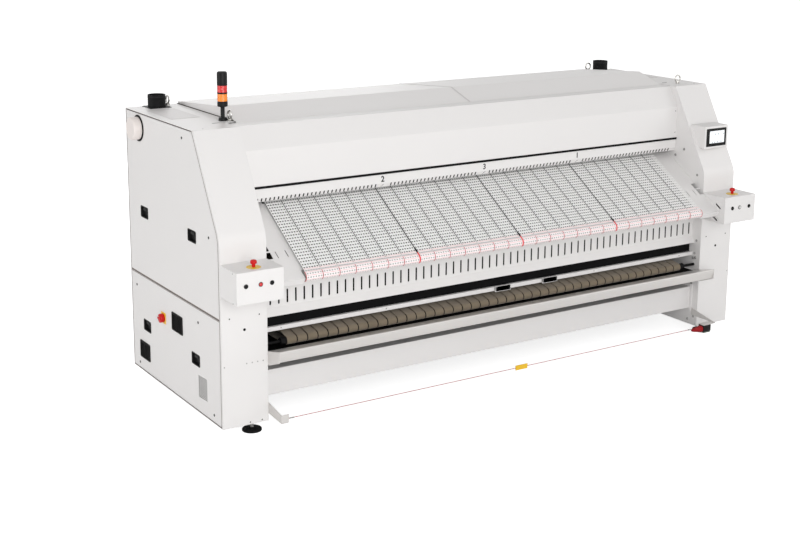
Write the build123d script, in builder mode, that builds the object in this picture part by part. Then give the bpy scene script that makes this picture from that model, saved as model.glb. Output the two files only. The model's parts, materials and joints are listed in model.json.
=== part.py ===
"""Flatwork ironer with a heated cylinder, front feed and front return.

Frame: origin on the floor under the middle of the machine, +X to the machine's right hand end
as the operator faces it, +Y to the rear, +Z up. Every side outline is drawn as
(depth behind the front posts, height above the floor), in millimetres.
"""

from build123d import *
import math
import os

os.makedirs("parts", exist_ok=True)

# ---------------------------------------------------------------- driving dimensions
# Casing
length = 4300.0
tower_width = 313.0
depth = 1439.0
tower_height = 1874.0
foot_height = 60.0
split_height = 754.0
chamfer_start = 1261.0
chamfer_depth = 345.0
chamfer_bend = 160.0
sheet = 2.0
shadow_gap = 5.0
split_gap = 10.0
panel_fold = 18.0
panel_setback = 26.0
opening_rim = 6.0
plate_corner = 6.0
fit = 0.3
running_fit = 0.05
shaft_gap = 2.0

# Frame
frame_plate = 12.0
beam_bottom = 192.0
beam_height = 168.0
beam_depth = 80.0
beam_setback = 80.0
beam_wall = 5.0
flange_overhang = 22.0
tie_tube_radius = 30.0
tie_tube_wall = 4.0
tie_tube_at = (150.0, 647.0)

# Heated cylinder and ironing belts
cylinder_radius = 400.0
cylinder_wall = 12.0
cylinder_margin = 117.0
cylinder_at = (815.0, 1120.0)
head_plate = 15.0
journal_radius = 80.0
journal_wall = 15.0
journal_overrun = 90.0
burner_radius = 40.0
burner_wall = 3.0
stripper_bar = 12.0
stripper_angle = 235.0
stripper_tip = 244.0
stripper_offset = 60.0
stripper_pitch = 150.0
stripper_width = 30.0
belt_pitch = 74.8
belt_gap = 8.0
belt_thickness = 3.0
nip_radius = 60.0
nip_angle = 128.0
guide_radius = 50.0
upper_guide_at = (depth - 249.0, tower_height - 184.0)
lower_guide_at = (depth - 249.0, 560.0)
return_radius = 24.0
return_at = (64.0, 540.0)
roller_shaft = 15.0
small_shaft = 10.0
bearing_ring = 25.0
bearing_width = 25.0

# Feed table
feed_slope = 32.2
feed_nose_at = (-148.0, 1003.0)
feed_centres = 690.0
feed_roller_radius = 30.0
feed_shaft = 8.0
feed_belt_thickness = 1.7
feed_margin = 150.0
feed_belt_pitch = 118.4
feed_belt_gap = 4.0
bed_drop = 21.0
bed_fold = 46.0
bed_nose = 26.0
bed_end_gap = 46.0
wing_slots = (28.0, 96.0)
wing_slot_start = 168.0
wing_slot_length = 59.0
wing_slot_width = 5.0
notch_depth = 42.0
notches = ((170.0, 55.0), (237.0, 53.0))
nose_shaft_reach = 14.0

# Covers between the towers
hood_lip = 520.0
hood_front = 402.0
hood_drop = 6.0
hood_bend_at = (319.0, tower_height - 154.0)
hood_bottom_at = (313.0, 1482.0)
hood_return = 16.0
ridge_front_at = (753.0, tower_height + 70.0)
roof_rear_height = tower_height + 15.0
lap_width = 66.0
roof_skirt = tower_height - 24.0
guard_hinge_at = (322.0, 1470.0)
guard_hinge_radius = 4.0
guard_bottom = 1384.0
guard_turn = 24.0
guard_slot_pitch = 30.14
guard_slot_width = 9.0
guard_slot_height = 22.0
guard_marks = (-806.0, 28.0, 862.0)
mark_half = 45.0
apron_front = 90.0
apron_top = 1060.0
apron_bend = 761.0
apron_lip_at = (64.0, 709.0)
slot_margin = 15.0
slot_pitch = 60.44
slot_shift = 13.8
slot_width = 12.0
slot_height = 90.0
slot_bottom = 777.0
bar_height = 28.0
bar_depth = 22.0
bar_at = (82.0, 608.0)
clamp_at = (29.0, 444.0)
clamp_width = 130.0
clamp_reach = 12.0
tray_front = 155.0
tray_front_height = 550.0
tray_rear_at = (12.0, 510.0)
tray_lip = 72.0
tray_return = 25.0
tray_bracket_height = 86.0

# Operator's fittings
box_reach = 227.0
box_bottom = 910.0
box_top = 1110.0
button_height = 1023.5
button_places = (80.0, 155.0, 252.0)
button_radius = 11.0
bezel_radius = 14.5
bezel_height = 3.0
button_proud = 6.0
estop_setback = 86.0
estop_inset = 158.0
estop_plate_radius = 45.0
estop_plate = 2.0
estop_radius = 20.0
estop_height = 44.0
screen_left = 33.0
screen_width = 236.0
screen_front = 45.0
screen_bottom = 1428.0
screen_top = 1600.0
screen_heel_at = (107.0, 1440.0)
glass_width = 204.0
glass_height = 136.0
glass_thickness = 3.0

# Top of the towers
duct_radius = 60.0
duct_wall = 3.0
duct_height = 85.0
duct_plate = 150.0
duct_setback = 77.0
duct_inset = 193.0
beacon_radius = 33.0
beacon_foot = 28.0
beacon_pole = 14.0
beacon_lens = 32.0
beacon_height = 315.0
beacon_at = (614.0, -16.0)
front_eyes = ((583.0, -50.0), (460.0, 126.0))
rear_eye_setback = 36.0
eye_ring = 25.0
eye_wire = 6.0

# Sides
grip_width = 122.0
grip_height = 78.0
grip_depth = 24.0
grip_wall = 3.0
upper_grips = ((depth - 277.0, 1204.0), (398.0, 1205.0))
lower_grips = ((depth - 264.0, 408.0), (384.0, 404.0))
isolator_at = (depth - 548.0, 543.0)
grille_width = 169.0
grille_height = 123.0
grille_depth = 12.0
grille_slots = 9
grilles = ((isolator_at[0] - 228.0, 565.0), (depth - 214.0, 218.0))
lock_radius = 9.0
upper_lock_height = tower_height - 68.0
upper_locks = ((516.0, upper_lock_height), (150.0, 1247.0), (depth - 72.0, upper_lock_height))
lower_locks = ((depth - 98.0, 662.0), (336.0, 660.0), (126.0, 116.0), (depth - 110.0, 108.0))
louvre_at = (289.0, 241.0)
louvre_count = 14
louvre_pitch = 10.4
louvre_length = 132.0
louvre_width = 5.0
louvre_slope = 3.0
cap_radius = 76.0
cap_reach = 60.0
cap_neck = 64.0
cap_at = (depth - 220.0, tower_height - 108.0)
gasket_radius = 88.0
gasket = 5.0
isolator_plate = 76.0
isolator_knob_radius = 30.0
isolator_reach = 34.0
isolator_shaft = 6.0

# Fans, drive and cabinet
fan_at = (depth - 189.0, tower_height - 294.0)
fan_radius = 150.0
fan_width = 110.0
impeller_radius = 120.0
impeller_width = 70.0
fan_inlet = 66.0
fan_motor_radius = 60.0
fan_motor_length = 90.0
blade_count = 12
drive_at = (815.0, 420.0)
sprocket_offset = 112.0
sprocket_width = 16.0
big_sprocket = 240.0
small_sprocket = 60.0
tooth = 8.0
chain_height = 14.0
gearbox_size = 190.0
gearbox_corner = 12.0
motor_radius = 60.0
motor_length = 250.0
drive_shaft = 20.0
cabinet_plate_at = (depth - 539.0, 430.0)
cabinet_plate_size = (800.0, 560.0)
cabinet_standoff = 50.0
standoff_radius = 12.0
standoff_inset = 80.0

# Feet, eyes and trip rope
foot_radius = 62.5
foot_pad = 14.0
foot_stud = 12.0
foot_setback = 47.0
rear_foot_setback = 75.0
foot_inset = 218.0
rope_setback = 170.0
rope_height = 120.0
rope_radius = 2.0
switch_inset = 215.0
switch_drop = 11.0
bracket_height = 56.0
bracket_flange = 52.0
switch_length = 170.0
switch_height = 60.0
switch_depth = 56.0
switch_head = 94.0
tag_length = 100.0
tag_height = 34.0
tag_thickness = 6.0
tag_at = 20.0

# ---------------------------------------------------------------- derived places
half_length = length / 2
inner_half = half_length - tower_width
plate_outer = inner_half + frame_plate
front_y = (box_reach + button_proud - depth) / 2
slope = math.radians(feed_slope)
chamfer_rate = chamfer_depth / (tower_height - chamfer_start)
hood_top = tower_height - hood_drop
feed_outer = feed_roller_radius + fit + feed_belt_thickness
wrap_radius = cylinder_radius + fit
nip_distance = wrap_radius + belt_thickness + fit + nip_radius
nip_at = (
    cylinder_at[0] + nip_distance * math.cos(math.radians(nip_angle)),
    cylinder_at[1] + nip_distance * math.sin(math.radians(nip_angle)),
)
drive_roller_at = (
    feed_nose_at[0] + feed_centres * math.cos(slope),
    feed_nose_at[1] + feed_centres * math.sin(slope),
)
journal_end = plate_outer + fit + 2 * bearing_ring + journal_overrun
cylinder_half = inner_half - cylinder_margin
belt_count = int(2 * cylinder_half / belt_pitch)
feed_belt_count = int(2 * (inner_half - feed_margin) / feed_belt_pitch)
feed_half = (feed_belt_count * feed_belt_pitch) / 2
duct_x = half_length - duct_inset
duct_y = depth - duct_setback


def section(x):
    """Side view plane at length position x: local x is depth, local y is height."""
    return Plane(origin=(x, front_y, 0), x_dir=(0, 1, 0), z_dir=(1, 0, 0))


def facing(behind):
    """Front view plane that far behind the posts' face, its normal to the operator."""
    return Plane(origin=(0, front_y + behind, 0), x_dir=(1, 0, 0), z_dir=(0, -1, 0))


def level(height):
    """Plan view plane at a height: local x is length, local y is depth."""
    return Plane(origin=(0, front_y, height))


def feed_plane(above):
    """Plane along the feed slope, that far above the line through its roller axes."""
    axis = Plane(
        origin=(0, front_y + feed_nose_at[0], feed_nose_at[1]),
        x_dir=(1, 0, 0),
        z_dir=(0, -math.sin(slope), math.cos(slope)),
    )
    return axis.offset(above)


def side_face(points, x=0.0):
    """Closed side outline as a face."""
    with BuildSketch(section(x)) as sketch:
        with BuildLine():
            Polyline(*points, close=True)
        make_face()
    return sketch.sketch


def disc(at, radius, x=0.0):
    """Round side outline as a face."""
    with BuildSketch(section(x)) as sketch:
        with Locations(at):
            Circle(radius)
    return sketch.sketch


def plate(at, width, height, x=0.0, corner=0.0):
    """Rectangular side outline as a face, its middle at a place."""
    with BuildSketch(section(x)) as sketch:
        with Locations(at):
            if corner > 0:
                RectangleRounded(width, height, corner)
            else:
                Rectangle(width, height)
    return sketch.sketch


def bent(points, thickness, x=0.0):
    """Side outline of a bent sheet: the line is its outer face, the sheet lies left of it."""
    with BuildSketch(section(x)) as sketch:
        with BuildLine():
            line = Polyline(*points)
            offset(line, amount=thickness, side=Side.LEFT, kind=Kind.INTERSECTION)
        make_face()
    return sketch.sketch


def tower_outline(x, front, edge, low, high):
    """Side outline of an end tower, moved in at the front and at its other edges."""
    lean = math.hypot(1, chamfer_rate)
    rise = chamfer_start - front * (lean - 1) / chamfer_rate
    rear = depth - edge
    if high > rise:
        top = chamfer_rate * (high - chamfer_start) + front * lean
        points = ((front, low), (front, rise), (top, high), (rear, high), (rear, low))
    else:
        points = ((front, low), (front, high), (rear, high), (rear, low))
    with BuildSketch(section(x)) as sketch:
        with BuildLine():
            Polyline(*points, close=True)
        make_face()
        if high > rise:
            corner = sketch.vertices().group_by(Axis.X)[0].sort_by(Axis.Y)[-1]
            fillet(corner, chamfer_bend - front)
    return sketch.sketch


def sweep_x(face, amount):
    """Prism of a side outline along the length, to be added to the piece at hand."""
    extrude(face, amount=amount, dir=(1, 0, 0))


def cut_x(face, amount):
    """Prism of a side outline along the length, taken from the piece at hand."""
    extrude(face, amount=amount, dir=(1, 0, 0), mode=Mode.SUBTRACT)


# ---------------------------------------------------------------- end towers
ledge = half_length - panel_fold - fit - sheet
cover_low = foot_height
cover_high = tower_height
split_low = split_height - split_gap / 2
split_high = split_height + split_gap / 2
screw_shank = 2.0
screw_length = 6.0
small_screw = 4.5
screw_row = (33.0, 71.0, 108.0, 146.0, 297.0)
post_screws = [(inner_half + across, 461.0) for across in screw_row]
post_screws += [(inner_half + across, 763.0) for across in (55.0, 257.0)]
post_screws += [(inner_half + across, 75.0) for across in (46.0, 128.0)]
post_plug = (inner_half + 157.0, 681.0)
plug_radius = 9.0
foot_x = half_length - foot_inset
foot_places = [(foot_x, foot_setback), (foot_x, depth - rear_foot_setback)]

# Front post, leaning face, top and rear of an end tower, folded from one sheet, with an
# inner ledge that the lift-off side panels rest against.
with BuildPart() as tower_cover_right:
    sweep_x(tower_outline(inner_half, 0, 0, cover_low, cover_high), tower_width)
    inside = (sheet, sheet, cover_low + sheet, cover_high - sheet)
    cut_x(tower_outline(inner_half, *inside), ledge - inner_half)
    pocket = half_length - 2 * sheet - ledge
    cut_x(tower_outline(ledge + sheet, *inside), pocket)
    opening_front = panel_setback - shadow_gap
    opening = (opening_front, opening_rim, cover_low + opening_rim, cover_high - opening_rim)
    cut_x(tower_outline(half_length - sheet, *opening), sheet)
    window_front = panel_setback + panel_fold
    window_edge = opening_rim + shadow_gap + panel_fold
    upper = (window_front, window_edge, split_high + panel_fold, cover_high - window_edge)
    lower = (window_front, window_edge, cover_low + window_edge, split_low - panel_fold)
    cut_x(tower_outline(ledge, *upper), sheet)
    cut_x(tower_outline(ledge, *lower), sheet)
    with BuildSketch(facing(0)):
        with Locations(*post_screws):
            Circle(screw_shank + running_fit)
    extrude(amount=-sheet, mode=Mode.SUBTRACT)
    with BuildSketch(level(cover_low)):
        with Locations(*foot_places):
            Circle(foot_stud + shaft_gap)
    extrude(amount=sheet, mode=Mode.SUBTRACT)
    with BuildSketch(level(cover_high)):
        with Locations((duct_x, duct_y)):
            Circle(duct_radius - duct_wall)
    extrude(amount=-sheet, mode=Mode.SUBTRACT)

# The top of the left tower laps over the end of the roof, with a fold down at the rear.
with BuildPart() as tower_cover_left:
    mirror(tower_cover_right.part, about=Plane.YZ)
    lap_start = hood_lip + 2 * sheet
    lap_middle = -inner_half + lap_width / 2
    with BuildSketch(level(tower_height)):
        with Locations((lap_middle, (lap_start + depth) / 2)):
            Rectangle(lap_width, depth - lap_start)
    extrude(amount=-sheet)
    with BuildSketch(facing(depth)):
        with Locations((lap_middle, (tower_height + roof_skirt) / 2)):
            Rectangle(lap_width, tower_height - roof_skirt)
    extrude(amount=sheet)

frame_inset = sheet + fit
frame_low = foot_height + frame_inset
frame_high = tower_height - frame_inset
foot_plate = 10.0
foot_plate_depth = 130.0
shafts = (
    (nip_at, roller_shaft),
    (upper_guide_at, roller_shaft),
    (lower_guide_at, roller_shaft),
    (return_at, small_shaft),
    (drive_roller_at, feed_shaft),
)

# Thick side plate of each tower, which carries every shaft, with a welded shelf for
# each levelling foot.
with BuildPart() as side_frames:
    outline = tower_outline(inner_half, frame_inset, frame_inset, frame_low, frame_high)
    sweep_x(outline, frame_plate)
    shelf_inset = frame_inset + foot_plate_depth / 2
    for shelf_y in (shelf_inset, depth - shelf_inset):
        shelf_at = (shelf_y, frame_low + foot_plate / 2)
        shelf = plate(shelf_at, foot_plate_depth, foot_plate, inner_half)
        sweep_x(shelf, tower_width - panel_fold - 4 * sheet)
    cut_x(disc(cylinder_at, journal_radius + shaft_gap, inner_half), frame_plate)
    for at, radius in shafts:
        cut_x(disc(at, radius + shaft_gap, inner_half), frame_plate)
    cut_x(disc(fan_at, fan_inlet, inner_half), frame_plate)
    cut_x(disc(guard_hinge_at, guard_hinge_radius + running_fit, inner_half), frame_plate)
    with BuildSketch(level(frame_low)):
        with Locations(*foot_places):
            Circle(foot_stud + running_fit)
    extrude(amount=foot_plate, mode=Mode.SUBTRACT)
    mirror(about=Plane.YZ)

flange = 10.0
flange_height = beam_height + 2 * flange_overhang
flange_depth = beam_depth + 2 * flange_overhang
beam_mid = beam_bottom + beam_height / 2
front_beam_y = beam_setback + beam_depth / 2
rear_beam_y = depth - front_beam_y
rail = 40.0
rail_y = depth - sheet - fit - rail / 2
rail_height = 952.0

# Members that join the two side plates: two flanged bottom beams, a tie tube under the
# feed table and a rail behind the rear panels.
with BuildPart() as cross_beams:
    for beam_y in (front_beam_y, rear_beam_y):
        beam_at = (beam_y, beam_mid)
        sweep_x(plate(beam_at, beam_depth, beam_height, -inner_half), 2 * inner_half)
        hollow = (beam_depth - 2 * beam_wall, beam_height - 2 * beam_wall)
        cut_x(plate(beam_at, *hollow, -inner_half), 2 * inner_half)
        for end in (-inner_half, inner_half - flange):
            sweep_x(plate(beam_at, flange_depth, flange_height, end, plate_corner), flange)
    sweep_x(disc(tie_tube_at, tie_tube_radius, -inner_half), 2 * inner_half)
    cut_x(disc(tie_tube_at, tie_tube_radius - tie_tube_wall, -inner_half), 2 * inner_half)
    sweep_x(plate((rail_y, rail_height), rail, rail, -inner_half), 2 * inner_half)
    rail_bore = rail - 2 * tie_tube_wall
    cut_x(plate((rail_y, rail_height), rail_bore, rail_bore, -inner_half), 2 * inner_half)

nut_radius = 20.0
nut_height = 12.0

# Levelling feet: a broad pad, a threaded stud and its lock nut.
with BuildPart() as levelling_feet:
    stud_top = frame_low + foot_plate + nut_height
    with BuildSketch(level(0)):
        with Locations(*foot_places):
            Circle(foot_radius)
    extrude(amount=foot_pad)
    chamfer(faces().filter_by(Axis.Z).sort_by(Axis.Z)[-1].edges(), foot_pad / 3)
    chamfer(faces().filter_by(Axis.Z).group_by(Axis.Z)[-1].edges(), foot_pad / 4)
    with BuildSketch(level(foot_pad)):
        with Locations(*foot_places):
            Circle(foot_stud)
    extrude(amount=stud_top - foot_pad)
    with BuildSketch(level(foot_pad)):
        with Locations(*foot_places):
            Circle(2 * foot_stud)
    extrude(amount=nut_height)
    with BuildSketch(level(foot_height - nut_height)):
        with Locations(*foot_places):
            RegularPolygon(nut_radius, 6)
    extrude(amount=nut_height)
    mirror(about=Plane.YZ)


# ---------------------------------------------------------------- side panels
cup_width = grip_width - 2 * grip_wall
cup_height = grip_height - 2 * grip_wall
spigot_width = grille_width - 6 * grip_wall
spigot_height = grille_height - 6 * grip_wall
lock_shank = lock_radius - 2
lip = 1.5


def side_panel(outline, grips, locks):
    """Lift-off panel with folded edges, its grip recesses and its lock holes."""
    with BuildPart() as panel:
        extrude(outline, amount=panel_fold, dir=(1, 0, 0))
        chamfer(faces().sort_by(Axis.X)[-1].edges(), sheet / 4)
        offset(amount=-sheet, openings=faces().sort_by(Axis.X)[0])
        for at in grips:
            hole = plate(at, cup_width + 2 * fit, cup_height + 2 * fit, half_length - panel_fold)
            cut_x(hole, panel_fold)
        for at in locks:
            cut_x(disc(at, lock_shank + fit, half_length - panel_fold), panel_fold)
    return panel.part


panel_x = half_length - panel_fold
panel_edge = opening_rim + shadow_gap
upper_outline = tower_outline(
    panel_x, panel_setback, panel_edge, split_high, tower_height - panel_edge
)
lower_outline = tower_outline(
    panel_x, panel_setback, panel_edge, foot_height + panel_edge, split_low
)

# Upper side panels, each with the round hole of its air cap.
with BuildPart() as upper_side_panels:
    add(side_panel(upper_outline, upper_grips, upper_locks))
    cut_x(disc(cap_at, cap_neck + fit, panel_x), panel_fold)
    mirror(about=Plane.YZ)

# Lower side panel, with filter grille openings and a block of slanted louvre slots.
with BuildPart() as lower_side_panel_right:
    add(side_panel(lower_outline, lower_grips, lower_locks))
    for at in grilles:
        hole = plate(at, spigot_width + 2 * fit, spigot_height + 2 * fit, panel_x)
        cut_x(hole, panel_fold)
    with BuildSketch(section(panel_x)):
        with Locations(louvre_at):
            with GridLocations(0, louvre_pitch, 1, louvre_count):
                SlotOverall(louvre_length, louvre_width, rotation=-louvre_slope)
    extrude(amount=panel_fold, mode=Mode.SUBTRACT)

# The left one also has the hole of the main isolator's shaft.
with BuildPart() as lower_side_panel_left:
    mirror(lower_side_panel_right.part, about=Plane.YZ)
    cut_x(disc(isolator_at, isolator_shaft + shaft_gap, -half_length), panel_fold)

# Recessed plastic grips, open to the outside.
with BuildPart() as panel_grips:
    for at in upper_grips + lower_grips:
        sweep_x(plate(at, cup_width, cup_height, half_length - grip_depth), grip_depth)
        sweep_x(plate(at, grip_width + 2, grip_height + 2, half_length, 2 * grip_wall), lip)
        inside = (cup_width - 2 * grip_wall, cup_height - 2 * grip_wall)
        cut_x(plate(at, *inside, half_length - grip_depth + grip_wall, grip_wall), grip_depth + lip)
    mirror(about=Plane.YZ)

# Framed filter grilles with level air slots.
with BuildPart() as filter_grilles:
    for at in grilles:
        sweep_x(plate(at, spigot_width, spigot_height, panel_x), panel_fold)
        sweep_x(plate(at, grille_width, grille_height, half_length, 2 * grip_wall), grille_depth / 2)
        with BuildSketch(section(panel_x)):
            with Locations(at):
                with GridLocations(0, spigot_height / (grille_slots + 1), 1, grille_slots):
                    Rectangle(spigot_width - 4 * grip_wall, spigot_height / (3 * grille_slots))
        extrude(amount=panel_fold + grille_depth, mode=Mode.SUBTRACT)
    mirror(about=Plane.YZ)

# Quarter-turn panel locks, and the screws and plug of the front posts.
with BuildPart() as panel_fasteners:
    for at in upper_locks + lower_locks:
        sweep_x(disc(at, lock_shank, panel_x), panel_fold)
        sweep_x(disc(at, lock_radius, half_length), lip)
    with BuildSketch(facing(0)):
        with Locations(*post_screws):
            Circle(small_screw)
        with Locations(post_plug):
            Circle(plug_radius)
    extrude(amount=lip)
    with BuildSketch(facing(0)):
        with Locations(*post_screws):
            Circle(screw_shank)
    extrude(amount=-screw_length)
    mirror(about=Plane.YZ)


# ---------------------------------------------------------------- covers between the towers
cover_half = inner_half - fit
slot_count = int(2 * (cover_half - slot_margin) / slot_pitch)
roof_rear = depth - sheet - fit

# Hood over the nip, bent from one sheet.
with BuildPart() as hood:
    hood_line = (
        (hood_lip, hood_top),
        (hood_front, hood_top),
        hood_bend_at,
        hood_bottom_at,
        (hood_bottom_at[0] + hood_return, hood_bottom_at[1]),
    )
    sweep_x(bent(hood_line, sheet, -cover_half), 2 * cover_half)

# Raised roof between the towers, which falls to the rear, closed by a plate at each end.
with BuildPart() as roof_panel:
    roof_front = (hood_lip + sheet, hood_top)
    roof_rise = ((roof_rear, roof_skirt), (roof_rear, roof_rear_height))
    roof_line = roof_rise + (ridge_front_at, roof_front)
    roof_left = lap_width - cover_half
    sweep_x(bent(roof_line, sheet, roof_left), cover_half - roof_left)
    end_outline = roof_line + ((roof_front[0], roof_skirt),)
    for end in (roof_left, cover_half - sheet):
        sweep_x(side_face(end_outline, end), sheet)

# Four rear panels, two above the rail and two below it.
rear_rows = (
    (beam_bottom + beam_height + shadow_gap, rail_height - shadow_gap / 2),
    (rail_height + shadow_gap / 2, roof_skirt - shadow_gap),
)
with BuildPart() as rear_panels:
    for low, high in rear_rows:
        with BuildSketch(facing(depth)):
            with Locations((0, (low + high) / 2)):
                with GridLocations(inner_half, 0, 2, 1):
                    Rectangle(inner_half - shadow_gap, high - low)
        extrude(amount=sheet)

hinge_tube = 6.0
guard_half = inner_half - 4 * fit
guard_front = guard_hinge_at[0] - hinge_tube
pin_length = 8.0
slot_row = guard_bottom + 3 + guard_slot_height / 2

# Swinging finger guard with a comb of slots along its lower edge, plain below its three
# lane marks, and a pin at each end.
with BuildPart() as finger_guard:
    guard_knee = guard_bottom + guard_turn
    guard_line = (
        (guard_front, guard_hinge_at[1]),
        (guard_front, guard_knee),
        (guard_front + guard_turn / 2, guard_bottom),
        (guard_front + 1.5 * guard_turn, guard_bottom),
    )
    sweep_x(bent(guard_line, sheet, -guard_half), 2 * guard_half)
    sweep_x(disc(guard_hinge_at, hinge_tube, -guard_half), 2 * guard_half)
    pin_half = inner_half + pin_length
    sweep_x(disc(guard_hinge_at, guard_hinge_radius, -pin_half), 2 * pin_half)
    half_count = int(guard_half / guard_slot_pitch) - 1
    slot_x = [(index + 0.5) * guard_slot_pitch for index in range(-half_count, half_count)]
    slot_x = [x for x in slot_x if min(abs(x - mark) for mark in guard_marks) > mark_half]
    with BuildSketch(facing(guard_front - sheet)):
        with Locations(*[(x, slot_row) for x in slot_x]):
            Rectangle(guard_slot_width, guard_slot_height)
    extrude(amount=-(guard_turn / 2 + 2 * sheet), mode=Mode.SUBTRACT)

# Slotted apron under the feed table.
with BuildPart() as apron:
    apron_line = (
        (apron_front, apron_top),
        (apron_front, apron_bend),
        apron_lip_at,
        (apron_lip_at[0] + tray_return, apron_lip_at[1]),
    )
    sweep_x(bent(apron_line, sheet, -cover_half), 2 * cover_half)
    with BuildSketch(facing(apron_front - sheet)):
        with Locations((slot_shift, slot_bottom + slot_height / 2)):
            with GridLocations(slot_pitch, 0, slot_count, 1):
                SlotOverall(slot_height, slot_width, rotation=90)
    extrude(amount=-3 * sheet, mode=Mode.SUBTRACT)

# Release bar over the return belts, with two black clamps.
with BuildPart() as release_bar:
    bar_middle = (bar_at[0] + bar_depth / 2, bar_at[1] + bar_height / 2)
    sweep_x(plate(bar_middle, bar_depth, bar_height, -inner_half), 2 * inner_half)
    cut_x(
        plate(bar_middle, bar_depth - 2 * sheet, bar_height - 2 * sheet, -inner_half),
        2 * inner_half,
    )
    with BuildSketch(facing(bar_at[0] - fit)):
        with Locations(*[(x, bar_middle[1]) for x in clamp_at]):
            Rectangle(clamp_width, bar_height + clamp_reach)
    extrude(amount=clamp_reach)

tray_bracket = 3.0
bracket_wall = 4.0
bracket_rise = 40.0
rope_start = inner_half - bracket_flange
rope_right = inner_half - switch_inset
bracket_rear = front_beam_y - flange_depth / 2 - fit
switch_middle = (-rope_setback, rope_height - switch_drop)
switch_top = switch_middle[1] + switch_height / 2
tray_half = inner_half - tray_bracket - fit

# Catch tray in front of the return belts.
with BuildPart() as catch_tray:
    lip_low = tray_front_height - tray_lip
    tray_line = (
        tray_rear_at,
        (-tray_front, tray_front_height),
        (-tray_front, lip_low),
        (tray_return - tray_front, lip_low),
    )
    sweep_x(bent(tray_line, sheet, -tray_half), 2 * tray_half)

# Side brackets of the tray, which reach back along the side plates, the anchor bracket of
# the trip rope on the left and the bracket of its switch on the right.
with BuildPart() as side_brackets:
    bracket_line = (
        (tray_rear_at[0] + beam_setback, tray_rear_at[1] - tray_bracket_height),
        (tray_rear_at[0] + beam_setback, tray_rear_at[1] - tray_return),
        (tray_rear_at[0], tray_rear_at[1]),
        (-tray_front, tray_front_height),
        (-tray_front, lip_low),
        (tray_rear_at[0] - tray_return, tray_rear_at[1] - tray_bracket_height),
    )
    sweep_x(side_face(bracket_line, inner_half - tray_bracket), tray_bracket)
    mirror(about=Plane.YZ)
    arm = (
        (bracket_rear, rope_height + bracket_height / 2 + bracket_rise),
        (-rope_setback + bracket_wall / 2, rope_height + bracket_height / 2),
        (-rope_setback + bracket_wall / 2, rope_height - bracket_height / 2),
        (bracket_rear, rope_height - bracket_height / 2 + bracket_rise / 2),
    )
    sweep_x(side_face(arm, -inner_half), bracket_wall)
    with BuildSketch(facing(-rope_setback + bracket_wall / 2)):
        with Locations((-inner_half + bracket_flange / 2, rope_height)):
            Rectangle(bracket_flange, bracket_height)
    extrude(amount=bracket_wall)
    right_arm = (
        (bracket_rear, switch_top + bracket_height),
        (-rope_setback - switch_depth / 2, switch_top + bracket_wall),
        (-rope_setback - switch_depth / 2, switch_top),
        (bracket_rear, switch_top),
    )
    sweep_x(side_face(right_arm, inner_half - bracket_wall), bracket_wall)
    with BuildSketch(level(switch_top)):
        shelf_length = inner_half - rope_right - switch_head
        with Locations((inner_half - shelf_length / 2, -rope_setback)):
            Rectangle(shelf_length, switch_depth)
    extrude(amount=bracket_wall)


# ---------------------------------------------------------------- heated cylinder and belts
sprocket_x = plate_outer + sprocket_offset
bearing_flange = 12.0


def sprocket(at, radius, bore, x):
    """Chain wheel: a disc with round tooth gaps and a bore."""
    gaps = round(math.pi * radius / (1.6 * tooth))
    with BuildPart() as wheel:
        extrude(disc(at, radius, x), amount=sprocket_width, dir=(1, 0, 0))
        with BuildSketch(section(x)):
            with Locations(at):
                with PolarLocations(radius, gaps):
                    Circle(tooth)
        extrude(amount=sprocket_width, mode=Mode.SUBTRACT)
        extrude(disc(at, bore, x), amount=sprocket_width, dir=(1, 0, 0), mode=Mode.SUBTRACT)
    return wheel.part


# Heated cylinder: rolled shell, two heads and hollow journals, with the large chain wheel
# keyed on the right one.
with BuildPart() as heated_cylinder:
    sweep_x(disc(cylinder_at, cylinder_radius, -cylinder_half), 2 * cylinder_half)
    cavity = cylinder_half - head_plate
    cut_x(disc(cylinder_at, cylinder_radius - cylinder_wall, -cavity), 2 * cavity)
    sweep_x(disc(cylinder_at, journal_radius, -journal_end), journal_end - cavity)
    sweep_x(disc(cylinder_at, journal_radius, cavity), journal_end - cavity)
    cut_x(disc(cylinder_at, journal_radius - journal_wall, -journal_end), 2 * journal_end)
    add(sprocket(cylinder_at, big_sprocket, journal_radius + running_fit, sprocket_x))

# Small chain wheel on the gearbox shaft, in one piece with that shaft.
with BuildPart() as drive_sprocket:
    add(sprocket(drive_at, small_sprocket, drive_shaft, sprocket_x))
    sweep_x(disc(drive_at, drive_shaft, plate_outer + bearing_flange), sprocket_offset)

# Bearings of the cylinder and of every roller, bolted to the outside of the side plates.
with BuildPart() as bearings:
    housing = journal_radius + 2 * bearing_ring
    sweep_x(disc(cylinder_at, housing, plate_outer), 2 * bearing_ring)
    foot = (2 * housing + 2 * bearing_ring, housing)
    sweep_x(plate(cylinder_at, *foot, plate_outer, bearing_flange), bearing_flange)
    cut_x(disc(cylinder_at, journal_radius + running_fit, plate_outer), 2 * bearing_ring)
    for at, radius in shafts:
        sweep_x(disc(at, radius + bearing_ring, plate_outer), bearing_width)
        cut_x(disc(at, radius + running_fit, plate_outer), bearing_width)
    mirror(about=Plane.YZ)

burner_end = journal_end + bearing_flange
bridge_half = big_sprocket + chain_height + bearing_ring
bridge_height = 60.0
bridge_post = 10.0

# Gas burner tube along the cylinder axis, held at each end by a bridge on two posts.
with BuildPart() as burner_tube:
    sweep_x(disc(cylinder_at, burner_radius, -burner_end), 2 * burner_end)
    for end in (-burner_end, burner_end - bearing_flange):
        bridge = plate(cylinder_at, 2 * bridge_half + bridge_height, bridge_height, end)
        sweep_x(bridge, bearing_flange)
    for side in (-1, 1):
        post_at = (cylinder_at[0] + side * bridge_half, cylinder_at[1])
        for start in (-burner_end, plate_outer):
            sweep_x(disc(post_at, bridge_post, start), burner_end - plate_outer)
    cut_x(disc(cylinder_at, burner_radius - burner_wall, -burner_end), 2 * burner_end)


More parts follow.
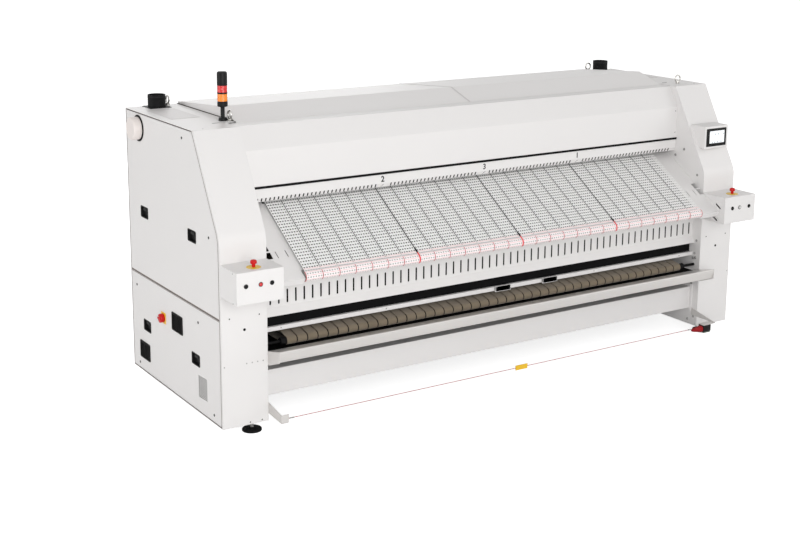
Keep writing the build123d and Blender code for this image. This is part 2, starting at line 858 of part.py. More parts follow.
def roller(at, radius, shaft, half, reach):
    """Roller body with a stub shaft at each end."""
    with BuildPart() as body:
        extrude(disc(at, radius, -half), amount=2 * half, dir=(1, 0, 0))
        extrude(disc(at, shaft, -reach), amount=2 * reach, dir=(1, 0, 0))
    return body.part


shaft_reach = plate_outer + bearing_width + shaft_gap

# Padded roller that presses the belts on the cylinder, and the guide rollers of the belts.
with BuildPart() as nip_roller:
    add(roller(nip_at, nip_radius, roller_shaft, cylinder_half, shaft_reach))

with BuildPart() as upper_guide_roller:
    add(roller(upper_guide_at, guide_radius, roller_shaft, cylinder_half, shaft_reach))

with BuildPart() as lower_guide_roller:
    add(roller(lower_guide_at, guide_radius, roller_shaft, cylinder_half, shaft_reach))

with BuildPart() as return_roller:
    add(roller(return_at, return_radius, small_shaft, cylinder_half, shaft_reach))


def belt_outline(grow):
    """Side outline of the ironing belt loop, its roller side moved out by `grow`.

    The loop turns left round four rollers and right round the cylinder. Between two
    circles it runs along their common tangent, whose left normal is at the angle
    `heading` from the line that joins the two centres.
    """
    stops = (
        (upper_guide_at, guide_radius + fit + grow, 1),
        (nip_at, nip_radius + fit + grow, 1),
        (cylinder_at, wrap_radius + belt_thickness - grow, -1),
        (return_at, return_radius + fit + grow, 1),
        (lower_guide_at, guide_radius + fit + grow, 1),
    )
    normals = []
    for (start, r1, turn1), (end, r2, turn2) in zip(stops, stops[1:] + stops[:1]):
        dx, dy = end[0] - start[0], end[1] - start[1]
        share = round((turn2 * r2 - turn1 * r1) / math.hypot(dx, dy), 9)
        heading = math.acos(share)
        normals.append(math.degrees(math.atan2(dy, dx) + heading))
    with BuildSketch(section(0)) as sketch:
        with BuildLine():
            ends = []
            for index, (at, radius, turn) in enumerate(stops):
                first = normals[index - 1] + (180 if turn > 0 else 0)
                last = normals[index] + (180 if turn > 0 else 0)
                sweep = (last - first) % 360 if turn > 0 else -((first - last) % 360)
                arc = CenterArc(at, radius, first, sweep)
                ends.append((arc @ 0, arc @ 1))
            for index, (_, leave) in enumerate(ends):
                arrive = ends[(index + 1) % len(ends)][0]
                if (arrive - leave).length > fit:
                    Line(leave, arrive)
        make_face()
    return sketch.sketch


belt_section = belt_outline(belt_thickness) - belt_outline(0)

# Endless ironing belts, side by side.
with BuildPart() as ironing_belts:
    first_belt = -(belt_count * belt_pitch - belt_gap) / 2
    for index in range(belt_count):
        face = belt_section.moved(Location((first_belt + index * belt_pitch, 0, 0)))
        sweep_x(face, belt_pitch - belt_gap)

stripper_distance = cylinder_radius + stripper_offset
stripper_count = int(2 * inner_half / stripper_pitch) - 1


def around_cylinder(angle, distance):
    """Place at an angle and distance from the cylinder axis."""
    turn = math.radians(angle)
    return (
        cylinder_at[0] + distance * math.cos(turn),
        cylinder_at[1] + distance * math.sin(turn),
    )


# Linen strippers: a bar between the side plates with thin fingers to the cylinder.
with BuildPart() as linen_strippers:
    bar_centre = around_cylinder(stripper_angle, stripper_distance)
    sweep_x(disc(bar_centre, stripper_bar, -inner_half), 2 * inner_half)
    finger = (
        around_cylinder(stripper_angle, stripper_distance + stripper_bar / 2),
        around_cylinder(stripper_tip, cylinder_radius + 3 * fit),
        around_cylinder(stripper_angle, stripper_distance - stripper_bar / 2),
    )
    for index in range(stripper_count):
        middle = (index - (stripper_count - 1) / 2) * stripper_pitch
        sweep_x(side_face(finger, middle - stripper_width / 2), stripper_width)


# ---------------------------------------------------------------- feed table
nose_reach = inner_half + nose_shaft_reach

# Front and rear rollers of the feed belts: the front one turns in the control boxes' walls.
with BuildPart() as feed_nose_roller:
    add(roller(feed_nose_at, feed_roller_radius, feed_shaft, feed_half, nose_reach))

with BuildPart() as feed_drive_roller:
    add(roller(drive_roller_at, feed_roller_radius, feed_shaft, feed_half, shaft_reach))

# Feed belts: endless loops round the two feed rollers.
with BuildPart() as feed_belts:
    loop_middle = (
        (feed_nose_at[0] + drive_roller_at[0]) / 2,
        (feed_nose_at[1] + drive_roller_at[1]) / 2,
    )
    first_belt = -feed_half + feed_belt_gap / 2
    for index in range(feed_belt_count):
        with BuildSketch(section(first_belt + index * feed_belt_pitch)):
            with Locations(loop_middle):
                SlotCenterToCenter(feed_centres, 2 * feed_outer, rotation=feed_slope)
                SlotCenterToCenter(
                    feed_centres,
                    2 * (feed_roller_radius + fit),
                    rotation=feed_slope,
                    mode=Mode.SUBTRACT,
                )
        extrude(amount=feed_belt_pitch - feed_belt_gap)

bed_top = feed_outer - bed_drop
wing_inner = feed_half + shadow_gap
wing_rear = feed_centres + bed_nose

# Sliding bed between the belt runs, with side wings folded down at the nose. Each wing has
# two slots along it and two notches in its outer edge.
with BuildPart() as feed_table:
    with BuildSketch(feed_plane(bed_top - sheet)):
        with Locations((0, feed_centres / 2)):
            Rectangle(2 * cover_half, feed_centres - 2 * bed_end_gap)
        wing_length = wing_rear + bed_nose
        for side in (-1, 1):
            middle = side * (wing_inner + cover_half) / 2
            with Locations((middle, wing_length / 2 - bed_nose)):
                Rectangle(cover_half - wing_inner, wing_length)
        for side in (-1, 1):
            for across in wing_slots:
                slot_middle = wing_slot_start + wing_slot_length / 2
                with Locations((side * (wing_inner + across), slot_middle)):
                    SlotOverall(wing_slot_length, wing_slot_width, rotation=90, mode=Mode.SUBTRACT)
            for start, run in notches:
                with Locations((side * (cover_half - notch_depth / 2), start + run / 2)):
                    Rectangle(notch_depth, run, mode=Mode.SUBTRACT)
    extrude(amount=sheet)
    with BuildSketch(feed_plane(bed_top)):
        for side in (-1, 1):
            middle = side * (wing_inner + cover_half) / 2
            with Locations((middle, sheet / 2 - bed_nose)):
                Rectangle(cover_half - wing_inner, sheet)
    extrude(amount=-bed_fold)


# ---------------------------------------------------------------- operator's fittings
box_wall = sheet
box_depth = box_reach - fit
box_half = (box_top - box_bottom) / 2
box_centre = (-box_reach / 2 - fit / 2, box_bottom + box_half)
button_x = [inner_half + place for place in button_places]
lamp_x = button_x[1]
stem_length = 30.0
estop_x = inner_half + estop_inset
estop_y = -box_reach + estop_setback
estop_neck = 11.0
slot_plate_slots = ((-160.0, 1036.0), (-130.0, 941.0))
slot_plate_length = 60.0
slot_plate_width = 12.0


def control_box(side):
    """Folded box on the front post, open to the post, with the holes of its fittings."""
    with BuildPart() as box:
        extrude(
            plate(box_centre, box_depth, 2 * box_half, inner_half),
            amount=tower_width,
            dir=(1, 0, 0),
        )
        fillet(box.edges().filter_by(Axis.X).group_by(Axis.Y)[0], 2 * sheet)
        offset(amount=-box_wall, openings=box.faces().sort_by(Axis.Y)[-1])
        with BuildSketch(facing(-box_reach)):
            with Locations(*[(x, button_height) for x in button_x]):
                Circle(button_radius + running_fit)
        extrude(amount=-2 * box_wall, mode=Mode.SUBTRACT)
        with BuildSketch(level(box_top)):
            with Locations((estop_x, estop_y)):
                Circle(estop_neck + running_fit)
        extrude(amount=-2 * box_wall, mode=Mode.SUBTRACT)
        hole = disc(feed_nose_at, feed_shaft + running_fit, inner_half)
        extrude(hole, amount=box_wall, dir=(1, 0, 0), mode=Mode.SUBTRACT)
        with BuildSketch(section(inner_half)):
            with Locations(*slot_plate_slots):
                SlotOverall(slot_plate_length, slot_plate_width, rotation=feed_slope)
        extrude(amount=box_wall, mode=Mode.SUBTRACT)
    return box.part if side > 0 else mirror(box.part, about=Plane.YZ)


# Control boxes on the two front posts.
with BuildPart() as control_box_right:
    add(control_box(1))

with BuildPart() as control_box_left:
    add(control_box(-1))

# Bezels of the buttons and lamps, the two lamp lenses, and the emergency stop plates.
with BuildPart() as control_bezels:
    with BuildSketch(facing(-box_reach)):
        with Locations(*[(x, button_height) for x in button_x]):
            Circle(bezel_radius)
            Circle(button_radius + running_fit, mode=Mode.SUBTRACT)
    extrude(amount=bezel_height)
    with BuildSketch(level(box_top)):
        with Locations((estop_x, estop_y)):
            Circle(estop_plate_radius)
            Circle(estop_neck + running_fit, mode=Mode.SUBTRACT)
    extrude(amount=estop_plate)
    mirror(about=Plane.YZ)


def push_button(x):
    """Push button cap on its stem."""
    with BuildPart() as button:
        with BuildSketch(facing(-box_reach + stem_length)):
            with Locations((x, button_height)):
                Circle(button_radius)
        extrude(amount=stem_length + button_proud)
        chamfer(button.faces().sort_by(Axis.Y)[0].edges(), button_radius / 12)
    return button.part


# Start and stop buttons of both boxes.
with BuildPart() as start_button_left:
    add(push_button(-button_x[2]))

with BuildPart() as stop_button_left:
    add(push_button(-button_x[0]))

with BuildPart() as start_button_right:
    add(push_button(button_x[0]))

with BuildPart() as stop_button_right:
    add(push_button(button_x[2]))


def emergency_stop(x):
    """Mushroom head on a neck that slides through the box top."""
    rise = box_top + estop_plate
    neck_top = rise + estop_height / 2
    with BuildPart() as stop:
        with BuildSketch(level(box_top - stem_length)):
            with Locations((x, estop_y)):
                Circle(estop_neck)
        extrude(amount=neck_top - box_top + stem_length)
        with BuildSketch(level(neck_top)):
            with Locations((x, estop_y)):
                Circle(estop_radius)
        extrude(amount=estop_height / 2)
        fillet(stop.faces().sort_by(Axis.Z)[-1].edges(), estop_height / 6)
    return stop.part


# Emergency stops on top of the boxes.
with BuildPart() as emergency_stop_left:
    add(emergency_stop(-estop_x))

with BuildPart() as emergency_stop_right:
    add(emergency_stop(estop_x))

screen_x = inner_half + screen_left
screen_wall = 3.0


def leaning(height):
    """Depth of the leaning front face at a height."""
    return chamfer_rate * (height - chamfer_start)


# Housing of the touch screen on the leaning face of the right tower.
with BuildPart() as screen_housing:
    gap = fit * math.hypot(1, chamfer_rate)
    housing_outline = (
        (screen_front, screen_bottom),
        (screen_front, screen_top),
        (leaning(screen_top) - gap, screen_top),
        (leaning(screen_heel_at[1]) - gap, screen_heel_at[1]),
    )
    sweep_x(side_face(housing_outline, screen_x), screen_width)
    fillet(edges().filter_by(Axis.X).group_by(Axis.Y)[0], 2 * screen_wall)
    with BuildSketch(facing(screen_front)):
        with Locations((screen_x + screen_width / 2, (screen_bottom + screen_top) / 2)):
            Rectangle(glass_width + 2 * fit, glass_height + 2 * fit)
    extrude(amount=-(glass_thickness + screen_wall), mode=Mode.SUBTRACT)

# Glass front of the touch screen in its black bezel.
with BuildPart() as touch_screen:
    with BuildSketch(facing(screen_front + glass_thickness + screen_wall)):
        with Locations((screen_x + screen_width / 2, (screen_bottom + screen_top) / 2)):
            Rectangle(glass_width, glass_height)
    extrude(amount=glass_thickness + screen_wall + lip)


# ---------------------------------------------------------------- top of the towers
# Exhaust spigots with their base plates.
with BuildPart() as exhaust_ducts:
    with BuildSketch(level(tower_height)):
        with Locations((duct_x, duct_y)):
            Rectangle(duct_plate, duct_plate)
    extrude(amount=duct_wall)
    with BuildSketch(level(tower_height)):
        with Locations((duct_x, duct_y)):
            Circle(duct_radius)
    extrude(amount=duct_height)
    with BuildSketch(level(tower_height)):
        with Locations((duct_x, duct_y)):
            Circle(duct_radius - duct_wall)
    extrude(amount=duct_height, mode=Mode.SUBTRACT)
    mirror(about=Plane.YZ)

beacon_x = -(inner_half + beacon_at[1])
beacon_levels = (21.0, 90.0, 125.0, 173.0, 182.0, 226.0)

# Signal beacon on the left tower: foot, pole and black modules.
with BuildPart() as signal_beacon:
    modules = (
        (beacon_foot, 0, beacon_levels[0]),
        (beacon_pole, beacon_levels[0], beacon_levels[1]),
        (beacon_radius, beacon_levels[1], beacon_levels[2]),
        (beacon_radius, beacon_levels[3], beacon_levels[4]),
        (beacon_radius, beacon_levels[5], beacon_height),
    )
    for radius, low, high in modules:
        with BuildSketch(level(tower_height + low)):
            with Locations((beacon_x, beacon_at[0])):
                Circle(radius)
        extrude(amount=high - low)
    fillet(faces().sort_by(Axis.Z)[-1].edges(), beacon_radius / 4)

# Coloured lenses of the beacon and of the two control boxes.
with BuildPart() as indicator_lenses:
    with BuildSketch(facing(-box_reach + stem_length)):
        with Locations((lamp_x, button_height)):
            Circle(button_radius)
    extrude(amount=stem_length + button_proud)
    fillet(faces().sort_by(Axis.Y)[0].edges(), button_radius / 3)
    mirror(about=Plane.YZ)
    for low, high in (beacon_levels[2:4], beacon_levels[4:6]):
        with BuildSketch(level(tower_height + low)):
            with Locations((beacon_x, beacon_at[0])):
                Circle(beacon_lens)
        extrude(amount=high - low)

eye_collar = 14.0
eye_collar_height = 12.0
(left_y, left_out), (right_y, right_out) = front_eyes
rear_eye = (inner_half + eye_collar + 2 * shadow_gap, depth - rear_eye_setback)
eyes = (
    (-inner_half - left_out, left_y, (0, 90, 0)),
    (inner_half + right_out, right_y, (90, 0, 0)),
    (-rear_eye[0], rear_eye[1], (0, 90, 0)),
    (*rear_eye, (90, 0, 0)),
)

# Lifting eyes: a ring on a collar, on the tower tops, each turned as it was screwed home.
with BuildPart() as lifting_eyes:
    for eye_x, eye_y, turn in eyes:
        with BuildSketch(level(tower_height)):
            with Locations((eye_x, eye_y)):
                Circle(eye_collar)
        extrude(amount=eye_collar_height + eye_wire / 2)
        ring_height = tower_height + eye_collar_height + eye_ring + eye_wire / 2
        ring_middle = (eye_x, front_y + eye_y, ring_height)
        with Locations(Location(ring_middle, turn)):
            Torus(eye_ring, eye_wire)


# ---------------------------------------------------------------- sides
# Round air caps on the upper side panels, each a closed drum on a neck, with a rubber ring
# between the drum and the panel.
with BuildPart() as air_caps:
    neck_start = panel_x - panel_fold
    cap_end = half_length + cap_reach
    sweep_x(disc(cap_at, cap_neck, neck_start), cap_end - neck_start)
    sweep_x(disc(cap_at, cap_radius, half_length + gasket), cap_reach - gasket)
    fillet(faces().sort_by(Axis.X)[-1].edges(), 2 * sheet)
    cut_x(disc(cap_at, cap_neck - sheet, neck_start), cap_end - sheet - neck_start)
    with BuildSketch(section(half_length)):
        with Locations(cap_at):
            Circle(gasket_radius)
            Circle(cap_neck + fit, mode=Mode.SUBTRACT)
    extrude(amount=gasket - fit)
    mirror(about=Plane.YZ)

cabinet_x = plate_outer + cabinet_standoff
cabinet_sheet = 3.0
isolator_body = 80.0
isolator_body_depth = 70.0
knob_bar = 14.0
cabinet_units = (
    ((-310.0, 130.0), (140.0, 240.0), 130.0),
    ((-150.0, 130.0), (120.0, 200.0), 110.0),
    ((160.0, 130.0), (160.0, 180.0), 90.0),
    ((315.0, 130.0), (90.0, 130.0), 80.0),
    ((-280.0, -90.0), (180.0, 90.0), 70.0),
    ((-20.0, -90.0), (260.0, 90.0), 75.0),
    ((260.0, -90.0), (180.0, 90.0), 60.0),
    ((0.0, -220.0), (700.0, 40.0), 45.0),
)

# Cabinet mounting plate on its standoffs in the left tower, with the drives, contactors
# and terminal rail that sit on it.
with BuildPart() as cabinet_plate:
    back = plate(cabinet_plate_at, *cabinet_plate_size, -cabinet_x - cabinet_sheet)
    sweep_x(back, cabinet_sheet)
    for (along, up), size, rise in cabinet_units:
        unit_at = (cabinet_plate_at[0] + along, cabinet_plate_at[1] + up)
        sweep_x(plate(unit_at, *size, -cabinet_x - cabinet_sheet - rise), rise - fit)
    with BuildSketch(section(-cabinet_x)):
        with Locations(cabinet_plate_at):
            with GridLocations(*[size - 2 * standoff_inset for size in cabinet_plate_size], 2, 2):
                Circle(standoff_radius)
    extrude(amount=cabinet_standoff)

# Main isolator: the switch body on the mounting plate and the yellow plate outside.
with BuildPart() as isolator:
    isolator_face = cabinet_x + cabinet_sheet + isolator_body_depth
    body = plate(isolator_at, isolator_body, isolator_body, -isolator_face)
    sweep_x(body, isolator_body_depth)
    sweep_x(plate(isolator_at, isolator_plate, isolator_plate, -half_length - sheet), sheet)
    cut_x(
        disc(isolator_at, isolator_shaft + running_fit, -half_length - sheet),
        half_length + sheet - isolator_face + isolator_body_depth / 2,
    )

# Turning handle of the isolator with its long shaft.
with BuildPart() as isolator_knob:
    knob_face = half_length + sheet + fit
    shaft_end = isolator_face - isolator_body_depth / 3
    sweep_x(disc(isolator_at, isolator_knob_radius, -knob_face - knob_bar), knob_bar)
    fillet(faces().sort_by(Axis.X)[0].edges(), knob_bar / 4)
    bar_length = 2 * isolator_knob_radius - knob_bar / 2
    bar = plate(isolator_at, knob_bar, bar_length, -knob_face - isolator_reach)
    sweep_x(bar, isolator_reach - knob_bar / 2)
    sweep_x(disc(isolator_at, isolator_shaft, -knob_face), knob_face - shaft_end)


# ---------------------------------------------------------------- fans, drive
fan_x = duct_x - fan_width / 2
outlet_top = tower_height - sheet - fit

# Exhaust fan scrolls, each with its outlet below a spigot and its motor outboard.
with BuildPart() as fan_housings:
    sweep_x(disc(fan_at, fan_radius, fan_x), fan_width)
    with BuildSketch(level(fan_at[1])):
        with Locations((duct_x, duct_y)):
            Rectangle(fan_width, fan_width)
    extrude(amount=outlet_top - fan_at[1])
    cut_x(disc(fan_at, fan_radius - sheet, fan_x + sheet), fan_width - 2 * sheet)
    with BuildSketch(level(fan_at[1])):
        with Locations((duct_x, duct_y)):
            Rectangle(fan_width - 2 * sheet, fan_width - 2 * sheet)
    extrude(amount=outlet_top - fan_at[1], mode=Mode.SUBTRACT)
    cut_x(disc(fan_at, fan_inlet, fan_x), sheet)
    inlet_gap = fan_x - plate_outer
    sweep_x(disc(fan_at, fan_inlet + sheet, plate_outer), inlet_gap)
    cut_x(disc(fan_at, fan_inlet, plate_outer), inlet_gap)
    sweep_x(disc(fan_at, fan_motor_radius, fan_x + fan_width + fit), fan_motor_length)
    cut_x(
        disc(fan_at, feed_shaft + running_fit, fan_x + fan_width - sheet),
        fan_motor_length / 2,
    )
    mirror(about=Plane.YZ)

impeller_x = fan_x + (fan_width - impeller_width) / 2
blade_inner = impeller_radius * 0.6


def impeller():
    """Forward-blade impeller: back disc, front ring, blades and a stub shaft."""
    with BuildPart() as wheel:
        back = impeller_x + impeller_width - 2 * sheet
        extrude(disc(fan_at, impeller_radius, back), amount=2 * sheet, dir=(1, 0, 0))
        with BuildSketch(section(impeller_x)):
            with Locations(fan_at):
                Circle(impeller_radius)
                Circle(blade_inner, mode=Mode.SUBTRACT)
        extrude(amount=2 * sheet)
        with BuildSketch(section(impeller_x)):
            with Locations(fan_at):
                with PolarLocations((impeller_radius + blade_inner) / 2, blade_count):
                    Rectangle(impeller_radius - blade_inner, sheet)
        extrude(amount=impeller_width)
        stub = fan_x + fan_width + fan_motor_length / 3 - back
        extrude(disc(fan_at, feed_shaft, back), amount=stub, dir=(1, 0, 0))
    return wheel.part


# Impellers of the two exhaust fans.
with BuildPart() as fan_impeller_right:
    add(impeller())

with BuildPart() as fan_impeller_left:
    mirror(fan_impeller_right.part, about=Plane.YZ)

gearbox_width = sprocket_offset - tooth
motor_centre = gearbox_width / 2 + bearing_flange
motor_start = drive_at[0] + gearbox_size / 2 + fit

# Gear motor of the cylinder on the right side plate.
with BuildPart() as gear_motor:
    gearbox = plate(drive_at, gearbox_size, gearbox_size, plate_outer, gearbox_corner)
    sweep_x(gearbox, gearbox_width)
    with BuildSketch(facing(motor_start)):
        with Locations((plate_outer + motor_centre, drive_at[1])):
            Circle(motor_radius)
    extrude(amount=-motor_length)
    cut_x(disc(drive_at, drive_shaft + running_fit, plate_outer + bearing_flange), gearbox_width)

# Drive chain round the two chain wheels.
with BuildPart() as drive_chain:
    for grow, mode in ((fit + chain_height, Mode.ADD), (fit, Mode.SUBTRACT)):
        with BuildSketch(section(sprocket_x)):
            lean_angle = math.asin(
                (big_sprocket - small_sprocket) / (cylinder_at[1] - drive_at[1])
            )
            with BuildLine():
                top = CenterArc(
                    cylinder_at,
                    big_sprocket + grow,
                    -math.degrees(lean_angle),
                    180 + 2 * math.degrees(lean_angle),
                )
                low = CenterArc(
                    drive_at,
                    small_sprocket + grow,
                    180 + math.degrees(lean_angle),
                    180 - 2 * math.degrees(lean_angle),
                )
                Line(top @ 1, low @ 0)
                Line(low @ 1, top @ 0)
            make_face()
        extrude(amount=sprocket_width, mode=mode)


# ---------------------------------------------------------------- trip rope
# Rope pull switch: round head towards the rope and a box-shaped body.
with BuildPart() as rope_switch:
    head_radius = switch_depth / 2.4
    sweep_x(disc(switch_middle, head_radius, rope_right), switch_head)
    body_start = rope_right + switch_head + fit
    body = plate(switch_middle, switch_depth, switch_height, body_start, plate_corner)
    sweep_x(body, switch_length - switch_head)

# Trip rope, stretched tight from the anchor bracket to the switch.
with BuildPart() as trip_rope:
    rope_at = (-rope_setback, rope_height)
    sweep_x(disc(rope_at, rope_radius, -rope_start), rope_start + rope_right)

# Plain tag threaded on the rope.
with BuildPart() as rope_tag:
    tag_face = plate(rope_at, tag_thickness, tag_height, tag_at - tag_length / 2)
    sweep_x(tag_face, tag_length)
    cut_x(disc(rope_at, rope_radius + running_fit, tag_at - tag_length / 2), tag_length)


# ---------------------------------------------------------------- files
pieces = {
    "side_frames": side_frames,
    "cross_beams": cross_beams,
    "levelling_feet": levelling_feet,
    "tower_cover_left": tower_cover_left,
    "tower_cover_right": tower_cover_right,
    "upper_side_panels": upper_side_panels,
    "lower_side_panel_left": lower_side_panel_left,
    "lower_side_panel_right": lower_side_panel_right,
    "panel_grips": panel_grips,
    "panel_fasteners": panel_fasteners,
    "filter_grilles": filter_grilles,
    "hood": hood,
    "roof_panel": roof_panel,
    "rear_panels": rear_panels,
    "finger_guard": finger_guard,
    "apron": apron,
    "release_bar": release_bar,
    "catch_tray": catch_tray,
    "side_brackets": side_brackets,
    "heated_cylinder": heated_cylinder,
    "bearings": bearings,
    "burner_tube": burner_tube,
    "nip_roller": nip_roller,
    "upper_guide_roller": upper_guide_roller,
    "lower_guide_roller": lower_guide_roller,
    "return_roller": return_roller,
    "ironing_belts": ironing_belts,
    "linen_strippers": linen_strippers,
    "feed_nose_roller": feed_nose_roller,
    "feed_drive_roller": feed_drive_roller,
    "feed_belts": feed_belts,
    "feed_table": feed_table,
    "control_box_left": control_box_left,
    "control_box_right": control_box_right,
    "control_bezels": control_bezels,
    "start_button_left": start_button_left,
    "stop_button_left": stop_button_left,
    "start_button_right": start_button_right,
    "stop_button_right": stop_button_right,
    "emergency_stop_left": emergency_stop_left,
    "emergency_stop_right": emergency_stop_right,
    "screen_housing": screen_housing,
    "touch_screen": touch_screen,
    "exhaust_ducts": exhaust_ducts,
    "signal_beacon": signal_beacon,
    "indicator_lenses": indicator_lenses,
    "lifting_eyes": lifting_eyes,
    "air_caps": air_caps,
    "cabinet_plate": cabinet_plate,
    "isolator": isolator,
    "isolator_knob": isolator_knob,
    "fan_housings": fan_housings,
    "fan_impeller_left": fan_impeller_left,
    "fan_impeller_right": fan_impeller_right,
    "gear_motor": gear_motor,
    "drive_sprocket": drive_sprocket,
    "drive_chain": drive_chain,
    "rope_switch": rope_switch,
    "trip_rope": trip_rope,
    "rope_tag": rope_tag,
}

for name, piece in pieces.items():
    piece.part.label = name
    export_step(piece.part, f"parts/{name}.step")
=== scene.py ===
import json
import math

import bmesh
import bpy
import numpy as np
from mathutils import Matrix, Vector


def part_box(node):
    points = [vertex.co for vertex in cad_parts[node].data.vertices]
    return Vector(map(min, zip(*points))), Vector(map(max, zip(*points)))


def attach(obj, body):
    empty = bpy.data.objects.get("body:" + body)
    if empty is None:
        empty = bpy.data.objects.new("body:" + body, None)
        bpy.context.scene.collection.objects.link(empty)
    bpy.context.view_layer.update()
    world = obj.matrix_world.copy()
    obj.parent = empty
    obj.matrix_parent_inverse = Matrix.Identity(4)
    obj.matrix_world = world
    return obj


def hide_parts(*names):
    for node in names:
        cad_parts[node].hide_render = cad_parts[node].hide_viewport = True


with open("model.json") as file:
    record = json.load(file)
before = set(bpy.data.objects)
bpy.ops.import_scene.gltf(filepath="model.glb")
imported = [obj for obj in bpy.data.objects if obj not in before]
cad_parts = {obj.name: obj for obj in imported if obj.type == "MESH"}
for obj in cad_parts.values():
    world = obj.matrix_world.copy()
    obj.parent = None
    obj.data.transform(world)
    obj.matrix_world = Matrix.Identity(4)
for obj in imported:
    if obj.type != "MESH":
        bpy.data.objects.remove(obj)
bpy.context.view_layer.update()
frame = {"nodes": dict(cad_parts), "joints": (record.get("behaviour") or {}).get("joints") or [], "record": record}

nodes = frame["nodes"]
scene = bpy.context.scene


# ---------------------------------------------------------------- studio
# A machine this long is photographed from its left front corner with a long lens, tilted and
# shifted a little downwards, on a white floor that runs into a white backdrop.
view = bpy.data.cameras.new("studio_camera")
view.sensor_width = 36.0
view.lens = 61.585
view.shift_x = 0.0021
view.shift_y = -0.10775
view.clip_end = 200.0
camera = bpy.data.objects.new("studio_camera", view)
scene.collection.objects.link(camera)
tripod = (-5.512, -7.848, 3.280)
yaw, pitch, roll = (math.radians(angle) for angle in (57.432, -12.065, 0.352))
ahead = Vector((math.cos(yaw) * math.cos(pitch), math.sin(yaw) * math.cos(pitch), math.sin(pitch)))
level = ahead.cross(Vector((0, 0, 1))).normalized()
plumb = level.cross(ahead)
across = math.cos(roll) * level + math.sin(roll) * plumb
upward = math.cos(roll) * plumb - math.sin(roll) * level
aim = Matrix((across, upward, -ahead)).transposed().to_4x4()
camera.matrix_world = Matrix.Translation(tripod) @ aim
scene.camera = camera
scene.view_settings.view_transform = "Standard"


def soft_box(name, place, target, size, power):
    """Square area lamp at a place, turned towards a target."""
    lamp = bpy.data.lights.new(name, "AREA")
    lamp.size = size
    lamp.energy = power
    box = bpy.data.objects.new(name, lamp)
    scene.collection.objects.link(box)
    box.location = place
    box.rotation_euler = (Vector(target) - Vector(place)).to_track_quat("-Z", "Y").to_euler()


soft_box("front_box", (-3.0, -7.5, 2.6), (0, 0, 0.9), 4.4, 285)
soft_box("side_box", (-8.0, 0.5, 2.4), (-1.5, 0, 0.9), 4.0, 118)
soft_box("right_box", (7.0, -4.5, 3.0), (0.8, 0, 0.9), 4.6, 105)
soft_box("rear_box", (2.0, 8.0, 4.0), (0, 0, 0.9), 5.0, 130)


def put(net, kind, *inputs, **settings):
    """Shader node of a kind, with its settings made and its inputs set or linked.

    Each input is a pair: its name or number, and its value or the socket that feeds it.
    """
    made = net.nodes.new("ShaderNode" + kind)
    for name, value in settings.items():
        setattr(made, name, value)
    for socket, value in inputs:
        if isinstance(value, bpy.types.NodeSocket):
            net.links.new(value, made.inputs[socket])
        else:
            made.inputs[socket].default_value = value
    return made


def to_eye(net):
    """Socket that is 1 on rays of the camera, of a mirror or through glass, and 0 on others."""
    rays = put(net, "LightPath").outputs
    direct = put(net, "Math", (0, rays["Is Camera Ray"]), (1, rays["Is Glossy Ray"]),
                 operation="MAXIMUM")
    every = put(net, "Math", (0, direct.outputs[0]), (1, rays["Is Transmission Ray"]),
                operation="MAXIMUM")
    return every.outputs[0]


white = (1, 1, 1, 1)
sky = bpy.data.worlds.new("studio_sky")
sky.use_nodes = True
scene.world = sky
tree = sky.node_tree
tree.nodes.clear()
lit_sky = put(tree, "Background", ("Color", (1.0, 0.995, 0.99, 1)), ("Strength", 0.52))
shown_sky = put(tree, "Background", ("Color", white), ("Strength", 1.0))
both = put(tree, "MixShader", (0, to_eye(tree)), (1, lit_sky.outputs[0]),
           (2, shown_sky.outputs[0]))
put(tree, "OutputWorld", ("Surface", both.outputs[0]))

floor_mesh = bpy.data.meshes.new("studio_floor")
reach = 40.0
floor_mesh.from_pydata(
    [(-reach, -reach, 0), (reach, -reach, 0), (reach, reach, 0), (-reach, reach, 0)], [],
    [(0, 1, 2, 3)])
floor = bpy.data.objects.new("studio_floor", floor_mesh)
scene.collection.objects.link(floor)
floor_paint = bpy.data.materials.new("white_floor")
floor_paint.use_nodes = True
tree = floor_paint.node_tree
tree.nodes.clear()
lift_for_camera, lift_for_all = 0.62, 0.14
matt = put(tree, "BsdfDiffuse", ("Color", (0.86, 0.86, 0.86, 1)))
low_lift = put(tree, "Math", (0, to_eye(tree)), (1, lift_for_all), operation="MULTIPLY")
full_lift = put(tree, "Math", (0, put(tree, "LightPath").outputs["Is Camera Ray"]),
                (1, lift_for_camera), (2, low_lift.outputs[0]), operation="MULTIPLY_ADD")
lift = put(tree, "Emission", ("Color", white), ("Strength", full_lift.outputs[0]))
total = put(tree, "AddShader", (0, matt.outputs[0]), (1, lift.outputs[0]))
put(tree, "OutputMaterial", ("Surface", total.outputs[0]))
floor_mesh.materials.append(floor_paint)


# ---------------------------------------------------------------- trip rope
# Safety rope of red plastic over steel wire, pulled tight along the front just above the
# floor, from the left anchor bracket to the rope switch, with crimped sleeves at its ends.
def srgb(red, green, blue):
    """Linear colour of one written from 0 to 255, by the display curve."""
    c = np.array([red, green, blue]) / 255
    return (*np.where(c <= 0.04045, c / 12.92, ((c + 0.055) / 1.055) ** 2.4), 1.0)


